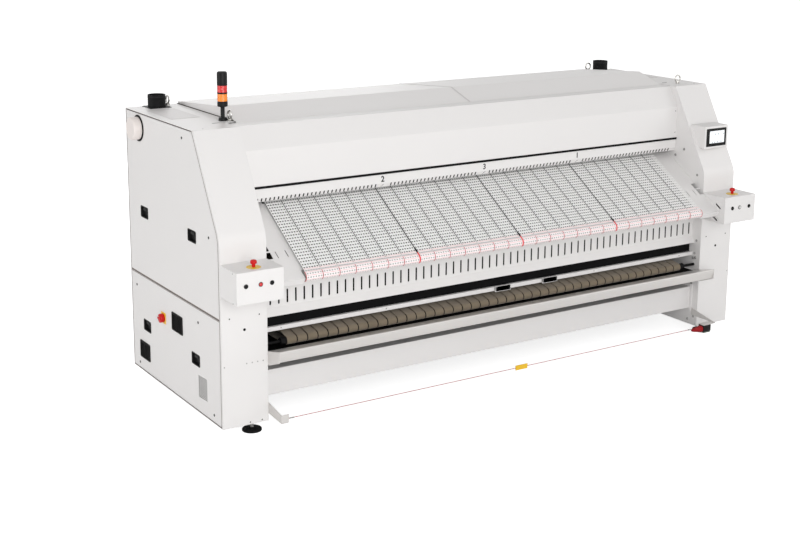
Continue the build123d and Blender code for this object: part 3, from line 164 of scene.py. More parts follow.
def coat(name, colour, rough, metal=0.0, drift=0.05, drift_size=2.0, grain=500.0, relief=0.03,
         edge=0.0, pull=(1, 1, 1), **sockets):
    """Finish in one colour that drifts a little lighter and darker with a slow cloud noise.

    A fast noise, pulled along an axis where the metal is brushed, gives its grain as bump and
    as a small change of gloss. `edge` rounds the sharp edges of the piece in the shading.
    """
    made = bpy.data.materials.new(name)
    made.use_nodes = True
    net = made.node_tree
    shader = net.nodes["Principled BSDF"]
    where = put(net, "TexCoord").outputs["Object"]
    cloud = put(net, "TexNoise", ("Vector", where), ("Scale", drift_size), ("Detail", 3.0))
    low, high = ([min(v * share, 1) for v in colour[:3]] + [1] for share in (1 - drift, 1 + drift))
    tones = put(net, "Mix", ("Factor", cloud.outputs["Fac"]), ("A", low), ("B", high),
                data_type="RGBA")
    net.links.new(tones.outputs["Result"], shader.inputs["Base Color"])
    pulled = put(net, "Mapping", ("Vector", where), ("Scale", pull)).outputs["Vector"]
    dust = put(net, "TexNoise", ("Vector", pulled), ("Scale", grain), ("Detail", 2.0))
    speck, gloss_span = dust.outputs["Fac"], 0.06
    gloss = put(net, "MapRange", ("Value", speck), ("To Min", max(rough - gloss_span, 0.02)),
                ("To Max", min(rough + gloss_span, 1)))
    net.links.new(gloss.outputs["Result"], shader.inputs["Roughness"])
    raised = put(net, "Bump", ("Strength", relief), ("Distance", 0.001), ("Height", speck))
    net.links.new(raised.outputs["Normal"], shader.inputs["Normal"])
    if edge:
        soft = put(net, "Bevel", ("Radius", edge), samples=4)
        net.links.new(soft.outputs["Normal"], raised.inputs["Normal"])
    shader.inputs["Metallic"].default_value = metal
    for socket, value in sockets.items():
        shader.inputs[socket.replace("_", " ")].default_value = value
    return made


def dress(finish, *names):
    """Gives CAD nodes a finish in every one of their material slots."""
    for name in names:
        for place in nodes[name].material_slots:
            place.material = finish


rope_red = coat("rope_red_plastic", srgb(158, 22, 30), 0.5, drift=0.08, grain=700,
                Specular_IOR_Level=0.25)
rope_left, rope_right, rope_y, rope_z = -1.785, 1.622, -0.773, 0.120
rope_thickness = 0.004
rope_line = bpy.data.curves.new("trip_rope_line", "CURVE")
rope_line.dimensions = "3D"
run = rope_line.splines.new("NURBS")
rope_points = [rope_left, -1.2, -0.4, 0.4, 1.2, rope_right]
run.points.add(len(rope_points) - 1)
for point, x in zip(run.points, rope_points):
    point.co = (x, rope_y, rope_z, 1)
run.order_u = 3
run.use_endpoint_u = True
rope_line.bevel_depth = rope_thickness / 2
rope_line.bevel_resolution = 3
rope_line.materials.append(rope_red)
rope = bpy.data.objects.new("trip_rope_line", rope_line)
scene.collection.objects.link(rope)
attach(rope, "machine")
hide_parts("trip_rope")


def shell(points, rows_close=False, columns_close=False, caps=False):
    """Points and faces of a grid (rows, columns, 3): each cell is one four-sided face.

    Rows or columns that close run from the last one back to the first. With caps, the first
    and the last row are each filled with one face.
    """
    rows, columns = points.shape[:2]
    index = np.arange(rows * columns).reshape(rows, columns)
    if rows_close:
        index = np.vstack([index, index[:1]])
    if columns_close:
        index = np.hstack([index, index[:, :1]])
    cells = np.stack([index[:-1, :-1], index[:-1, 1:], index[1:, 1:], index[1:, :-1]], -1)
    faces = cells.reshape(-1, 4).tolist()
    if caps:
        faces += [index[0, :columns].tolist(), index[-1, :columns].tolist()]
    return points.reshape(-1, 3), faces


def piece(name, parts, finish, body="machine", bevel=0.0, stands_for=(), angle=35):
    """Mesh object made of parts (points, faces), its doubles merged and its faces outwards."""
    points, faces, start = [], [], 0
    for part_points, part_faces in parts:
        points.append(np.asarray(part_points, float))
        faces += [[start + i for i in face] for face in part_faces]
        start += len(part_points)
    mesh = bpy.data.meshes.new(name)
    mesh.from_pydata(np.concatenate(points).tolist(), [], faces)
    form = bmesh.new()
    form.from_mesh(mesh)
    bmesh.ops.remove_doubles(form, verts=form.verts, dist=1e-6)
    bmesh.ops.recalc_face_normals(form, faces=form.faces)
    form.to_mesh(mesh)
    form.free()
    mesh.polygons.foreach_set("use_smooth", np.ones(len(mesh.polygons), bool))
    mesh.set_sharp_from_angle(angle=math.radians(angle))
    mesh.materials.append(finish)
    made = bpy.data.objects.new(name, mesh)
    scene.collection.objects.link(made)
    if bevel:
        soft = made.modifiers.new("soft_edges", "BEVEL")
        soft.width = bevel
        soft.segments = 2
        soft.limit_method = "ANGLE"
        soft.angle_limit = math.radians(40)
    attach(made, body)
    if stands_for:
        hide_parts(*stands_for)
    return made


AXES = {
    "x": ((0, 1, 0), (0, 0, 1), (1, 0, 0)),
    "-x": ((0, 0, 1), (0, 1, 0), (-1, 0, 0)),
    "y": ((0, 0, 1), (1, 0, 0), (0, 1, 0)),
    "-y": ((1, 0, 0), (0, 0, 1), (0, -1, 0)),
    "z": ((1, 0, 0), (0, 1, 0), (0, 0, 1)),
}


def turned(profile, centre, axis, steps=32, ripple=None):
    """Turned form: the profile (radius, height) goes once round the axis through the centre.

    A point is centre + radius cos t * side + radius sin t * other + height * axis. `ripple`
    takes the grid of angles and of profile numbers and gives a factor for the radius.
    """
    side, other, along = (np.array(v, float) for v in AXES[axis])
    t = np.linspace(0, 2 * np.pi, steps, endpoint=False)[None, :, None]
    radius = np.array([p[0] for p in profile], float)[:, None, None]
    height = np.array([p[1] for p in profile], float)[:, None, None]
    if ripple is not None:
        radius = radius * ripple(t[..., 0], np.arange(len(profile))[:, None])[..., None]
    ring = np.array(centre, float) + radius * (np.cos(t) * side + np.sin(t) * other)
    return shell(ring + height * along, columns_close=True, caps=True)


steel = coat("zinc_plated_steel", srgb(172, 171, 169), 0.38, metal=1.0, grain=260, relief=0.05)
sleeve = [(0.002, 0), (0.0042, 0.001), (0.0046, 0.003), (0.0046, 0.015), (0.0036, 0.016),
          (0.0036, 0.019), (0.0046, 0.020), (0.0046, 0.032), (0.0042, 0.034), (0.002, 0.035)]
rope_sleeves = piece(
    "rope_sleeves",
    [turned(sleeve, (rope_left + 0.004, rope_y, rope_z), "x", 20),
     turned(sleeve, (rope_right - 0.040, rope_y, rope_z), "x", 20)],
    steel,
)
tag_yellow = coat("tag_yellow_plastic", srgb(236, 190, 40), 0.45, grain=300, edge=0.0008)
dress(tag_yellow, "rope_tag")


# ---------------------------------------------------------------- casing
# Towers, roof, panels, boxes and beams are folded from 2 mm sheet steel and powder coated in
# a warm white, slightly textured like orange peel.
white_coat = coat("white_powder_coat", srgb(228, 226, 225), 0.46, drift=0.012, drift_size=1.3,
                  grain=420, relief=0.035, edge=0.0022)
dress(
    white_coat, "tower_cover_left", "tower_cover_right", "upper_side_panels",
    "lower_side_panel_left", "lower_side_panel_right", "rear_panels", "hood",
    "control_box_left", "control_box_right", "screen_housing", "cross_beams", "side_frames",
)
# The roof's copy of the white coat is lighter: painted light on the roof.
roof_lit_coat = coat("roof_powder_coat", srgb(238, 236, 235), 0.5, drift=0.012, drift_size=1.0,
                 grain=420, relief=0.035, edge=0.0022)
dress(roof_lit_coat, "roof_panel")


def corners(node):
    """Low and high corner of a CAD node in metres, to a tenth of a millimetre."""
    return np.round(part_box(node), 4)


(inner, front, _), (half, _, top) = corners("tower_cover_right")


# ---------------------------------------------------------------- panel gap shade
# Dark foam strips behind the edges of the side panels are painted shade in the gap round each panel,
# the wider one between the upper and the lower panel, and the joint of the rear panels. Thin
# brown and grey bands on the panels' meeting edges and the tower's rim are painted shadow lines.
painted_shade_foam = coat("brown_black_foam", srgb(40, 32, 30), 0.95, grain=900, relief=0.3,
                 Specular_IOR_Level=0.1)
opening_line = np.array([(-0.5816, 0.0664), (-0.5816, 1.2190), (-0.5637, 1.2870),
                         (-0.2371, 1.8676), (0.8296, 1.8676), (0.8296, 0.0664)])
panels_line = np.array([(-0.5774, 0.0706), (-0.5774, 1.2192), (-0.5602, 1.2850),
                        (-0.2347, 1.8634), (0.8254, 1.8634), (0.8254, 0.0706)])
shade_strip_back, shade_strip_face = half - 0.0178, half - 0.0055


def mirrored(parts):
    """The parts again on the other side of the machine's middle: x becomes -x."""
    return parts + [(np.asarray(points) * (-1, 1, 1), faces) for points, faces in parts]


def prism(outline, start, end):
    """Side view outline of (y, z) points carried along X from start to end, both ends closed."""
    line = np.array(outline, float)
    rows = [np.column_stack([np.full(len(line), x), line]) for x in (start, end)]
    return shell(np.array(rows), columns_close=True, caps=True)


def bar(y_low, y_high, z_low, z_high, start, end):
    """Square-edged bar: a rectangle in side view carried along X from start to end."""
    corner_line = [(y_low, z_low), (y_high, z_low), (y_high, z_high), (y_low, z_high)]
    return prism(corner_line, start, end)


def edge_band(line, other_line, start, end):
    """Band between two like side view outlines: its section is a rectangle from start to end."""
    rows = [np.column_stack([np.full(len(points), x), points])
            for x, points in ((start, line), (end, line), (end, other_line), (start, other_line))]
    return shell(np.array(rows), rows_close=True, columns_close=True)


piece("panel_seals", mirrored([edge_band(opening_line, panels_line, shade_strip_back, shade_strip_face)]),
      painted_shade_foam)
rim_line = np.array([(-0.5846, 0.0636), (-0.5846, 1.2197), (-0.5663, 1.2885),
                     (-0.2386, 1.8704), (0.8324, 1.8704), (0.8324, 0.0636)])
# Brown bands on the tower's rim and pale grey bands on the split's edges are painted shadow lines.
shadow_line_brown = coat("edge_trim_brown", srgb(112, 100, 96), 0.7, grain=900, relief=0.2,
                  Specular_IOR_Level=0.2)
shadow_line_back = half + 0.0001
# A dark strip behind the rear panels' joint is painted shade.
piece("rear_joint_seal", [bar(0.8275, 0.8335, 0.345, 0.700, -0.012, 0.012)], painted_shade_foam)
piece("opening_trims", mirrored([edge_band(opening_line, rim_line, shadow_line_back, half + 0.0007)]),
      shadow_line_brown)
split_trims = [bar(-0.5765, 0.8245, low, low + 0.0042, shadow_line_back, half + 0.0008)
               for low in (0.7446, 0.7596)]
# The grey strip in the split gap between the panels is painted shade.
split_shade_grey = coat("grey_foam", srgb(104, 92, 88), 0.9, grain=900, relief=0.3,
                  Specular_IOR_Level=0.1)
piece("split_trims", mirrored(split_trims), coat("split_trim_grey", srgb(168, 160, 157), 0.7,
                                                 grain=900, relief=0.2), bevel=0.0002)
split_shade_strip = bar(-0.5768, 0.8248, 0.7494, 0.7586, shade_strip_back, shade_strip_face)
piece("split_seals", mirrored([split_shade_strip]), split_shade_grey)


# ---------------------------------------------------------------- screws and panel locks
# Quarter-turn locks of black plastic hold the side panels. Steel screws and one cable plug
# are in the front posts, and steel screws in the box sides and the hood's ends.
black_plastic = coat("black_plastic", srgb(13, 13, 14), 0.46, grain=700, relief=0.05, edge=0.001,
                     Specular_IOR_Level=0.22)
steel_head = [(0.0044, 0), (0.0045, 0.0006), (0.0037, 0.0014), (0.0023, 0.0015), (0.0021, 0.0003)]
lock_head = [(0.007, -0.017), (0.007, 0), (0.0086, 0), (0.009, 0.0006), (0.0083, 0.0014),
             (0.0064, 0.0015), (0.0060, 0.0002)]
upper_locks = [(-0.087, 1.806), (-0.453, 1.247), (0.764, 1.806)]
lower_locks = [(0.738, 0.662), (-0.267, 0.660), (-0.477, 0.116), (0.726, 0.108)]


def rounded(centre, width, height, axis, corner, levels, steps=4):
    """Rounded rectangle outline carried along the axis through levels of (inset, rise).

    At each level the outline's corner centres stand at the half size - inset - r, and its
    points at r (cos t, sin t) from them, where r is the corner's radius less the inset.
    """
    side, other, along = (np.array(v, float) for v in AXES[axis])
    t = np.linspace(0, np.pi / 2, steps)
    turn = np.concatenate([t + k * np.pi / 2 for k in range(4)])
    sign = np.repeat([(1, 1), (-1, 1), (-1, -1), (1, -1)], steps, axis=0)
    inset, rise = np.array(levels, float).T
    radius = np.maximum(corner - inset, 2e-4)[:, None]
    u = (width / 2 - inset[:, None] - radius) * sign[:, 0] + radius * np.cos(turn)
    v = (height / 2 - inset[:, None] - radius) * sign[:, 1] + radius * np.sin(turn)
    grid = u[..., None] * side + v[..., None] * other + rise[:, None, None] * along
    return shell(np.array(centre, float) + grid, columns_close=True, caps=True)


def plate(centre, width, height, thick, axis, corner=0.003, edge=0.0006):
    """Rounded rectangle plate of a thickness, with a small broken edge round its face."""
    levels = [(0, 0), (0, thick - edge), (edge, thick)]
    return rounded(centre, width, height, axis, corner, levels)


lock_parts = []
for y, z in upper_locks + lower_locks:
    lock_parts.append(turned(lock_head, (half, y, z), "x", 28))
    lock_parts.append(plate((half + 0.0002, y, z), 0.0105, 0.0026, 0.0011, "x", 0.001, 0.0003))
plug_head = [(0.0088, -0.002), (0.009, 0.0006), (0.0082, 0.0015), (0.0064, 0.0016),
             (0.0058, 0.0006)]
dark_screws = [(x, z) for z, row in ((0.763, (0.055, 0.257)), (0.075, (0.046, 0.128)))
               for x in row]
for x, z in dark_screws:
    lock_parts.append(turned(steel_head, (inner + x, front, z), "-y", 20))
lock_parts.append(turned(plug_head, (inner + 0.157, front, 0.681), "-y", 28))
piece("panel_locks", mirrored(lock_parts), black_plastic,
      stands_for=["panel_fasteners"])
screw_parts = [turned(steel_head, (inner + x, front, 0.461), "-y", 16)
               for x in (0.033, 0.071, 0.108, 0.146, 0.297)]
screw_parts += [turned(steel_head, (half, -0.778, z), "x", 16) for z in (1.0975, 0.914)]
screw_parts += [turned(steel_head, (half - 0.085, -0.218, top), "z", 16)]
piece("bright_screws", mirrored(screw_parts), steel)


# ---------------------------------------------------------------- hood and finger guard
# The hood's lower edge carries a black rubber lip that closes the gap to the swinging guard; its black stands
# also for the shade in that gap, as painted shade. The guard's slots are filled and backed with black as painted
# shade, and over the lanes it has a printed number above an oblique tick.
black_rubber = coat("black_rubber", srgb(12, 12, 13), 0.7, grain=900, relief=0.15,
                    Specular_IOR_Level=0.15)
# The lip is black rubber, and its black is also painted shade of the gap.
lip_line = [(-0.2902, 1.4712), (-0.2925, 1.4712), (-0.2932, 1.4730), (-0.2932, 1.4850),
            (-0.2922, 1.4868), (-0.2902, 1.4868)]
lip_half = inner - 0.0005
piece("hood_lip_seal", [prism(lip_line, -lip_half, lip_half)], black_rubber)
piece("hood_end_screws",
      mirrored([turned([(r * 0.8, h) for r, h in steel_head], (-inner + 0.017, y, z), "-y", 14)
                for y, z in ((-0.2870, 1.690), (-0.2902, 1.527))]), black_plastic)
dress(white_coat, "finger_guard")
# Black backing behind the slots and black fills in them are painted shade.
slot_backing_line = [(-0.2846, 1.4210), (-0.2836, 1.4210), (-0.2836, 1.4083), (-0.2724, 1.3862),
              (-0.2734, 1.3858), (-0.2846, 1.4079)]
guard_half = inner - 0.007
piece("guard_liner", [prism(slot_backing_line, -guard_half, guard_half)], black_rubber, body="guard")
print_black = coat("lane_number_ink", srgb(20, 19, 19), 0.6, grain=900, relief=0.05,
                   Specular_IOR_Level=0.2)
lanes = {"2": -0.806, "3": 0.028, "1": 0.862}
guard_face, guard_bend, number_foot, number_height = -0.2873, 1.408, 1.4215, 0.054
for number, x in lanes.items():
    letters = bpy.data.curves.new("lane_number_" + number, "FONT")
    letters.body = number
    letters.size = number_height
    letters.offset = 0.0012
    letters.align_x = "CENTER"
    letters.extrude = 0.0002
    shape = bpy.data.objects.new("lane_number_shape", letters)
    scene.collection.objects.link(shape)
    bpy.context.view_layer.update()
    ink = bpy.data.meshes.new_from_object(shape.evaluated_get(
        bpy.context.evaluated_depsgraph_get()))
    bpy.data.objects.remove(shape)
    flat = np.empty(len(ink.vertices) * 3)
    ink.vertices.foreach_get("co", flat)
    flat = flat.reshape(-1, 3)
    placed = np.column_stack([x + flat[:, 0], guard_face - flat[:, 2], number_foot + flat[:, 1]])
    ink.vertices.foreach_set("co", placed.ravel())
    ink.materials.clear()
    ink.materials.append(print_black)
    number_plate = bpy.data.objects.new("lane_number_" + number, ink)
    scene.collection.objects.link(number_plate)
    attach(number_plate, "guard")
tick = np.array([(-0.012, 1.3885), (-0.008, 1.3885), (0.012, 1.4035), (0.008, 1.4035)])


def on_guard(x, outline):
    """Thin block on the guard's sloping lip, where y goes half as far back as z goes down."""
    y = guard_face + (guard_bend - outline[:, 1]) / 2
    return (np.vstack([np.column_stack([x + outline[:, 0], y - 0.0002, outline[:, 1]]),
                       np.column_stack([x + outline[:, 0], y + 0.0004, outline[:, 1]])]),
            [[0, 1, 2, 3], [7, 6, 5, 4], [0, 4, 5, 1], [1, 5, 6, 2], [2, 6, 7, 3], [3, 7, 4, 0]])


piece("lane_ticks", [on_guard(x, tick) for x in lanes.values()], print_black, body="guard")
slot_shade_block = np.array([(-0.0043, 1.3866), (0.0043, 1.3866), (0.0043, 1.4074), (-0.0043, 1.4074)])
comb_pitch, comb_half_count, plain_half = 0.03014, 59, 0.045
comb_x = [(k + 0.5) * comb_pitch for k in range(-comb_half_count, comb_half_count)]
comb_x = [x for x in comb_x if min(abs(x - middle) for middle in lanes.values()) > plain_half]
piece("guard_comb_inserts", [on_guard(x, slot_shade_block) for x in comb_x], black_rubber, body="guard")


# ---------------------------------------------------------------- feed belts
# Twenty-eight endless belts of white coated cloth, punched all over with rows of small holes
# so that the suction in the bed holds the linen. Each is stretched over two rollers.
axle = {joint["child"]: joint["pos_m"][1:] for joint in frame["joints"]
        if joint["type"] == "hinge"}
(feed_y, feed_z), (drive_y, drive_z) = axle["feed_front"], axle["feed_rear"]
feed_rise = math.atan2(drive_z - feed_z, drive_y - feed_y)
belt_run = math.hypot(drive_y - feed_y, drive_z - feed_z)
belt_radius, belt_width, belt_gap, belt_count = 0.0320, 0.1144, 0.0040, 28
lane = belt_width + belt_gap
first_lane = (belt_gap - belt_count * lane) / 2
hole_rows, hole_columns, hole_pitch, row_pitch = 27, 6, 0.0183, 0.0254
hole_radius, first_row = 0.0058, 0.006


def along_belt(length):
    """Place in side view of a point of the belt's outer face at a length along its loop.

    The length starts where the top run leaves the nose: a straight run up the slope, half a
    turn round the drive roller, the straight run back, and half a turn round the nose.
    """
    bend = np.pi * belt_radius
    loop = 2 * belt_run + 2 * bend
    at = np.mod(length, loop)
    s = np.select([at < belt_run, at < belt_run + bend, at < 2 * belt_run + bend],
                  [at, belt_run, 2 * belt_run + bend - at], 0.0)
    angle = np.select(
        [at < belt_run, at < belt_run + bend, at < 2 * belt_run + bend],
        [0 * at, (at - belt_run) / belt_radius, np.pi + 0 * at],
        np.pi + (at - 2 * belt_run - bend) / belt_radius)
    u, v = s + belt_radius * np.sin(angle), belt_radius * np.cos(angle)
    c, n = math.cos(feed_rise), math.sin(feed_rise)
    return feed_y + u * c - v * n, feed_z + u * n + v * c


def belt_cloth(name):
    """White cloth whose nose end is tinted, with a thin red line between the rows of holes.

    The map's first number is the length along the belt in metres, its second the place
    across it. A line lies where the distance from the nearest row is almost half a pitch.
    """
    made = coat(name, srgb(240, 239, 238), 0.75, drift=0.02, drift_size=6, grain=1500, relief=0.12)
    net = made.node_tree
    shader = net.nodes["Principled BSDF"]
    base = shader.inputs["Base Color"].links[0].from_socket
    spread = put(net, "UVMap", uv_map="cloth").outputs["UV"]
    length = put(net, "SeparateXYZ", (0, spread)).outputs["X"]

    def calc(kind, *values):
        return put(net, "Math", *enumerate(values), operation=kind).outputs[0]

    tinted_end, line_start, hundred_rows = 0.046, 0.465, 100 * row_pitch
    nose = calc("LESS_THAN", length, tinted_end)
    shifted = calc("ADD", length, hundred_rows - first_row)
    within_row = calc("FRACT", calc("DIVIDE", shifted, row_pitch))
    from_row = calc("ABSOLUTE", calc("SUBTRACT", within_row, 0.5))
    line = calc("GREATER_THAN", from_row, line_start)
    tint = put(net, "Mix", ("Factor", nose), ("A", base), ("B", srgb(250, 243, 243)),
               data_type="RGBA")
    stripe = put(net, "Mix", ("Factor", calc("MULTIPLY", nose, line)),
                 ("A", tint.outputs["Result"]), ("B", srgb(238, 150, 154)), data_type="RGBA")
    net.links.new(stripe.outputs["Result"], shader.inputs["Base Color"])
    return made


def belt_group(name, first, count, finish):
    """Sheet of `count` belts: cells with a round hole where it is punched, plain elsewhere.

    A cell is row_pitch long and hole_pitch wide. Round each hole eight points at the hole's
    radius (cos t, sin t) join eight on the cell's edge. The rest of the loop is a plain grid.
    """
    t = np.arange(8) * np.pi / 4
    hole = hole_radius * np.column_stack([np.cos(t), np.sin(t)])
    square = np.column_stack([np.sign(np.round(np.cos(t), 6)), np.sign(np.round(np.sin(t), 6))])
    rows = np.arange(-3, hole_rows - 2)
    places = (np.arange(hole_columns) - (hole_columns - 1) / 2) * hole_pitch
    across, lengths = np.meshgrid(places, rows * row_pitch + first_row + row_pitch / 2)
    lengths, across = lengths.ravel(), across.ravel()
    half_cell = np.array([row_pitch / 2, hole_pitch / 2])
    cell = np.concatenate([square * half_cell, hole])
    u = lengths[:, None] + cell[:, 0]
    v = across[:, None] + cell[:, 1]
    k = np.arange(8)
    quad = np.column_stack([k, (k + 1) % 8, (k + 1) % 8 + 8, k + 8])
    faces = (np.arange(len(lengths))[:, None, None] * 16 + quad).reshape(-1, 4)
    u, v = u.ravel(), v.ravel()
    start, stop = rows[0] * row_pitch + first_row, (rows[-1] + 1) * row_pitch + first_row
    loop = 2 * belt_run + 2 * np.pi * belt_radius
    edge_v = np.array([-belt_width / 2, -hole_columns * hole_pitch / 2])
    strip_u = np.arange(rows[0], rows[-1] + 2) * row_pitch + first_row
    rest_u = np.concatenate([[stop], np.linspace(max(stop, belt_run),
                             belt_run + np.pi * belt_radius, 13),
                             [2 * belt_run + np.pi * belt_radius]])
    rest_u = np.concatenate([rest_u, np.linspace(2 * belt_run + np.pi * belt_radius,
                             loop + start, 5)[1:]])
    grids = [(strip_u, edge_v), (strip_u, -edge_v),
             (rest_u, np.concatenate([edge_v[:1], np.linspace(edge_v[1], -edge_v[1], 7),
                                      -edge_v[:1]]))]
    for along, wide in grids:
        index = np.arange(len(along) * len(wide)).reshape(len(along), len(wide)) + len(u)
        gu, gv = np.meshgrid(along, wide, indexing="ij")
        u, v = np.concatenate([u, gu.ravel()]), np.concatenate([v, gv.ravel()])
        cells = np.stack([index[:-1, :-1], index[:-1, 1:], index[1:, 1:], index[1:, :-1]], -1)
        faces = np.concatenate([faces, cells.reshape(-1, 4)])
    y, z = along_belt(u)
    belts = np.arange(first, first + count)
    middle = first_lane + belts * lane + belt_width / 2
    points = np.stack([middle[:, None] + v, np.broadcast_to(y, (count, len(y))),
                       np.broadcast_to(z, (count, len(z)))], -1).reshape(-1, 3)
    everything = (belts - first)[:, None, None] * len(u) + faces
    everything = everything.reshape(-1, 4)
    mesh = bpy.data.meshes.new(name)
    mesh.from_pydata(points.tolist(), [], everything.tolist())
    cloth_map = mesh.uv_layers.new(name="cloth")
    spread = np.column_stack([u, v])[faces.ravel()]
    cloth_map.data.foreach_set("uv", np.tile(spread, (count, 1)).ravel())
    form = bmesh.new()
    form.from_mesh(mesh)
    bmesh.ops.remove_doubles(form, verts=form.verts, dist=2e-5)
    bmesh.ops.recalc_face_normals(form, faces=form.faces)
    form.to_mesh(mesh)
    form.free()
    mesh.polygons.foreach_set("use_smooth", np.ones(len(mesh.polygons), bool))
    mesh.materials.append(finish)
    made = bpy.data.objects.new(name, mesh)
    scene.collection.objects.link(made)
    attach(made, "machine")
    return made


punched_cloth = belt_cloth("punched_belt_cloth")
group_count = 4
group_belts = belt_count // group_count
for group in range(group_count):
    belts = belt_group(f"feed_belts_{group + 1}", group * group_belts, group_belts, punched_cloth)
    thick = belts.modifiers.new("cloth_thickness", "SOLIDIFY")
    thick.thickness = 0.0015
    thick.offset = -1
    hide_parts("feed_belts")


# ---------------------------------------------------------------- feed table
# Bed of white coated sheet with a near-black sheet under the belts, painted shade seen through the holes and gaps.
# Red rubber rings on the nose roller show between the belts, black strips fill the gaps up the slope as painted
# shade, and a red guide round the nose and a wider black line part the lanes.
dress(white_coat, "feed_table")


def on_slope(x, along, above):
    """Points at an x, a length along the feed slope and a height above its roller line."""
    c, n = math.cos(feed_rise), math.sin(feed_rise)
    x, along, above = np.broadcast_arrays(np.array(x, float), along, above)
    return np.stack([x, feed_y + along * c - above * n, feed_z + along * n + above * c], -1)


def slope_block(x_low, x_high, start, end, low, high):
    """Six-sided block lying along the feed slope."""
    outline = on_slope(
        np.array([x_low, x_high, x_high, x_low] * 2), np.array([start, start, end, end] * 2),
        np.array([low] * 4 + [high] * 4))
    return outline, [[0, 1, 2, 3], [4, 5, 6, 7], [0, 1, 5, 4], [1, 2, 6, 5], [2, 3, 7, 6],
                     [3, 0, 4, 7]]


shade_black_sheet = coat("dark_slide_fibre", srgb(8, 8, 9), 0.75, drift=0.15, grain=500, relief=0.1,
                  Specular_IOR_Level=0.1)
shade_sheet_half, shade_sheet_start, shade_sheet_end = 1.6450, 0.0465, 0.6435
piece("slide_sheet", [slope_block(-shade_sheet_half, shade_sheet_half, shade_sheet_start, shade_sheet_end, 0.0113, 0.0125)],
      shade_black_sheet, bevel=0.0003)
red_rubber = coat("red_ring_rubber", srgb(196, 62, 64), 0.6, drift=0.08, grain=700, relief=0.1)
nose_angles = np.linspace(-2.6, 0.35, 26)


def nose_band(x_low, x_high, low, high, angles):
    """Band round the nose: at each angle t, points at (sin t, cos t) times two radii."""
    x = np.array([x_low, x_high, x_high, x_low])
    r = np.array([high, high, low, low])
    t = angles[:, None]
    return shell(on_slope(x[None], r * np.sin(t), r * np.cos(t)), columns_close=True, caps=True)


gaps = [first_lane + k * lane - belt_gap / 2 for k in range(belt_count + 1)]
lane_gaps = gaps[group_belts:-1:group_belts]
piece("nose_rings", [nose_band(x - 0.0016, x + 0.0016, 0.0304, 0.0318, nose_angles)
                     for x in gaps], red_rubber)
on_belt, guide_top, block_top = 0.0322, 0.0338, 0.0342
guide_end, block_end, line_end = 0.022, 0.060, 0.650
lane_red = coat("lane_red", srgb(226, 38, 44), 0.4, grain=500, relief=0.04)
piece("lane_guides",
      [nose_band(x - 0.0045, x + 0.0045, on_belt, guide_top, np.linspace(-1.9, 0.0, 20))
       for x in lane_gaps]
      + [slope_block(x - 0.0045, x + 0.0045, 0.0, guide_end, on_belt, guide_top)
         for x in lane_gaps], lane_red, bevel=0.0004)
# The third row of strips fills every gap between the belts with black: painted shade.
strips = [(lane_gaps, 0.0062, guide_end, block_end, on_belt, block_top),
          (lane_gaps, 0.0040, 0.480, 0.498, on_belt, guide_top),
          (gaps[1:-1], 0.0021, 0.046, line_end, 0.0300, 0.0334),
          (lane_gaps, 0.0034, block_end, line_end, on_belt, guide_top)]
piece("lane_lines",
      [slope_block(x - half_wide, x + half_wide, start, end, low, high)
       for places, half_wide, start, end, low, high in strips for x in places],
      black_rubber, bevel=0.0004)


# ---------------------------------------------------------------- apron and release bar
# Slotted guard below the feed nose, with a near-black sheet behind its slots as painted shade. Below it runs
# the release bar, held by two black clamps, with near-black sheets behind it and under the belts as painted shade.
dress(white_coat, "apron")
backing_shade_half, under_shade_half = inner - 0.011, inner - 0.017
piece("apron_liner", [bar(-0.500, -0.498, 0.768, 0.880, -backing_shade_half, backing_shade_half)], shade_black_sheet,
      bevel=0.0003)
piece("inner_shield", [bar(-0.4985, -0.4970, 0.600, 0.766, -backing_shade_half, backing_shade_half),
                       bar(-0.589, 0.550, 0.4955, 0.4970, -under_shade_half, under_shade_half)],
      shade_black_sheet, bevel=0.0003)
dress(white_coat, "release_bar")
clamp_face, bar_face, bar_z = -0.5333, -0.5213, corners("release_bar")[:, 2].mean()
clamp_parts = []
for x in (0.029, 0.444):
    clamp_parts.append(rounded((x, bar_face, bar_z), 0.130, 0.040, "-y", 0.008,
                               [(0, 0), (0, 0.009), (0.001, 0.0112), (0.003, 0.012)]))
    for shift in (-0.048, 0.048):
        clamp_parts.append(turned(steel_head, (x + shift, clamp_face, bar_z), "-y", 14))
piece("release_clamps", clamp_parts, black_plastic)
piece("bar_screws",
      [turned([(r * 1.1, h) for r, h in steel_head], (x, bar_face + 0.0003, bar_z), "-y", 14)
       for x in (-1.70, -0.92, 0.86, 1.70)], steel)


# ---------------------------------------------------------------- catch tray
# Folded tray of satin aluminium sheet under the return roller, lying on two white brackets.
bright = coat("bright_sheet", srgb(219, 216, 213), 0.34, metal=0.55, grain=260, relief=0.03,
              pull=(0.03, 1, 1), edge=0.0015)
tray_line = [(-0.5910, 0.5100), (-0.7530, 0.5490), (-0.7575, 0.5450), (-0.7575, 0.5300),
             (-0.7430, 0.4790), (-0.7330, 0.4790), (-0.7330, 0.4810), (-0.7415, 0.4810),
             (-0.7555, 0.5303), (-0.7555, 0.5441), (-0.7525, 0.5468), (-0.5910, 0.5080)]
tray_half = corners("catch_tray")[1, 0]
piece("folded_tray", [prism(tray_line, -tray_half, tray_half)], bright,
      stands_for=["catch_tray"])
bracket_grey = coat("bracket_coat", srgb(206, 203, 200), 0.5, grain=420, relief=0.05, edge=0.001)
dress(bracket_grey, "side_brackets")


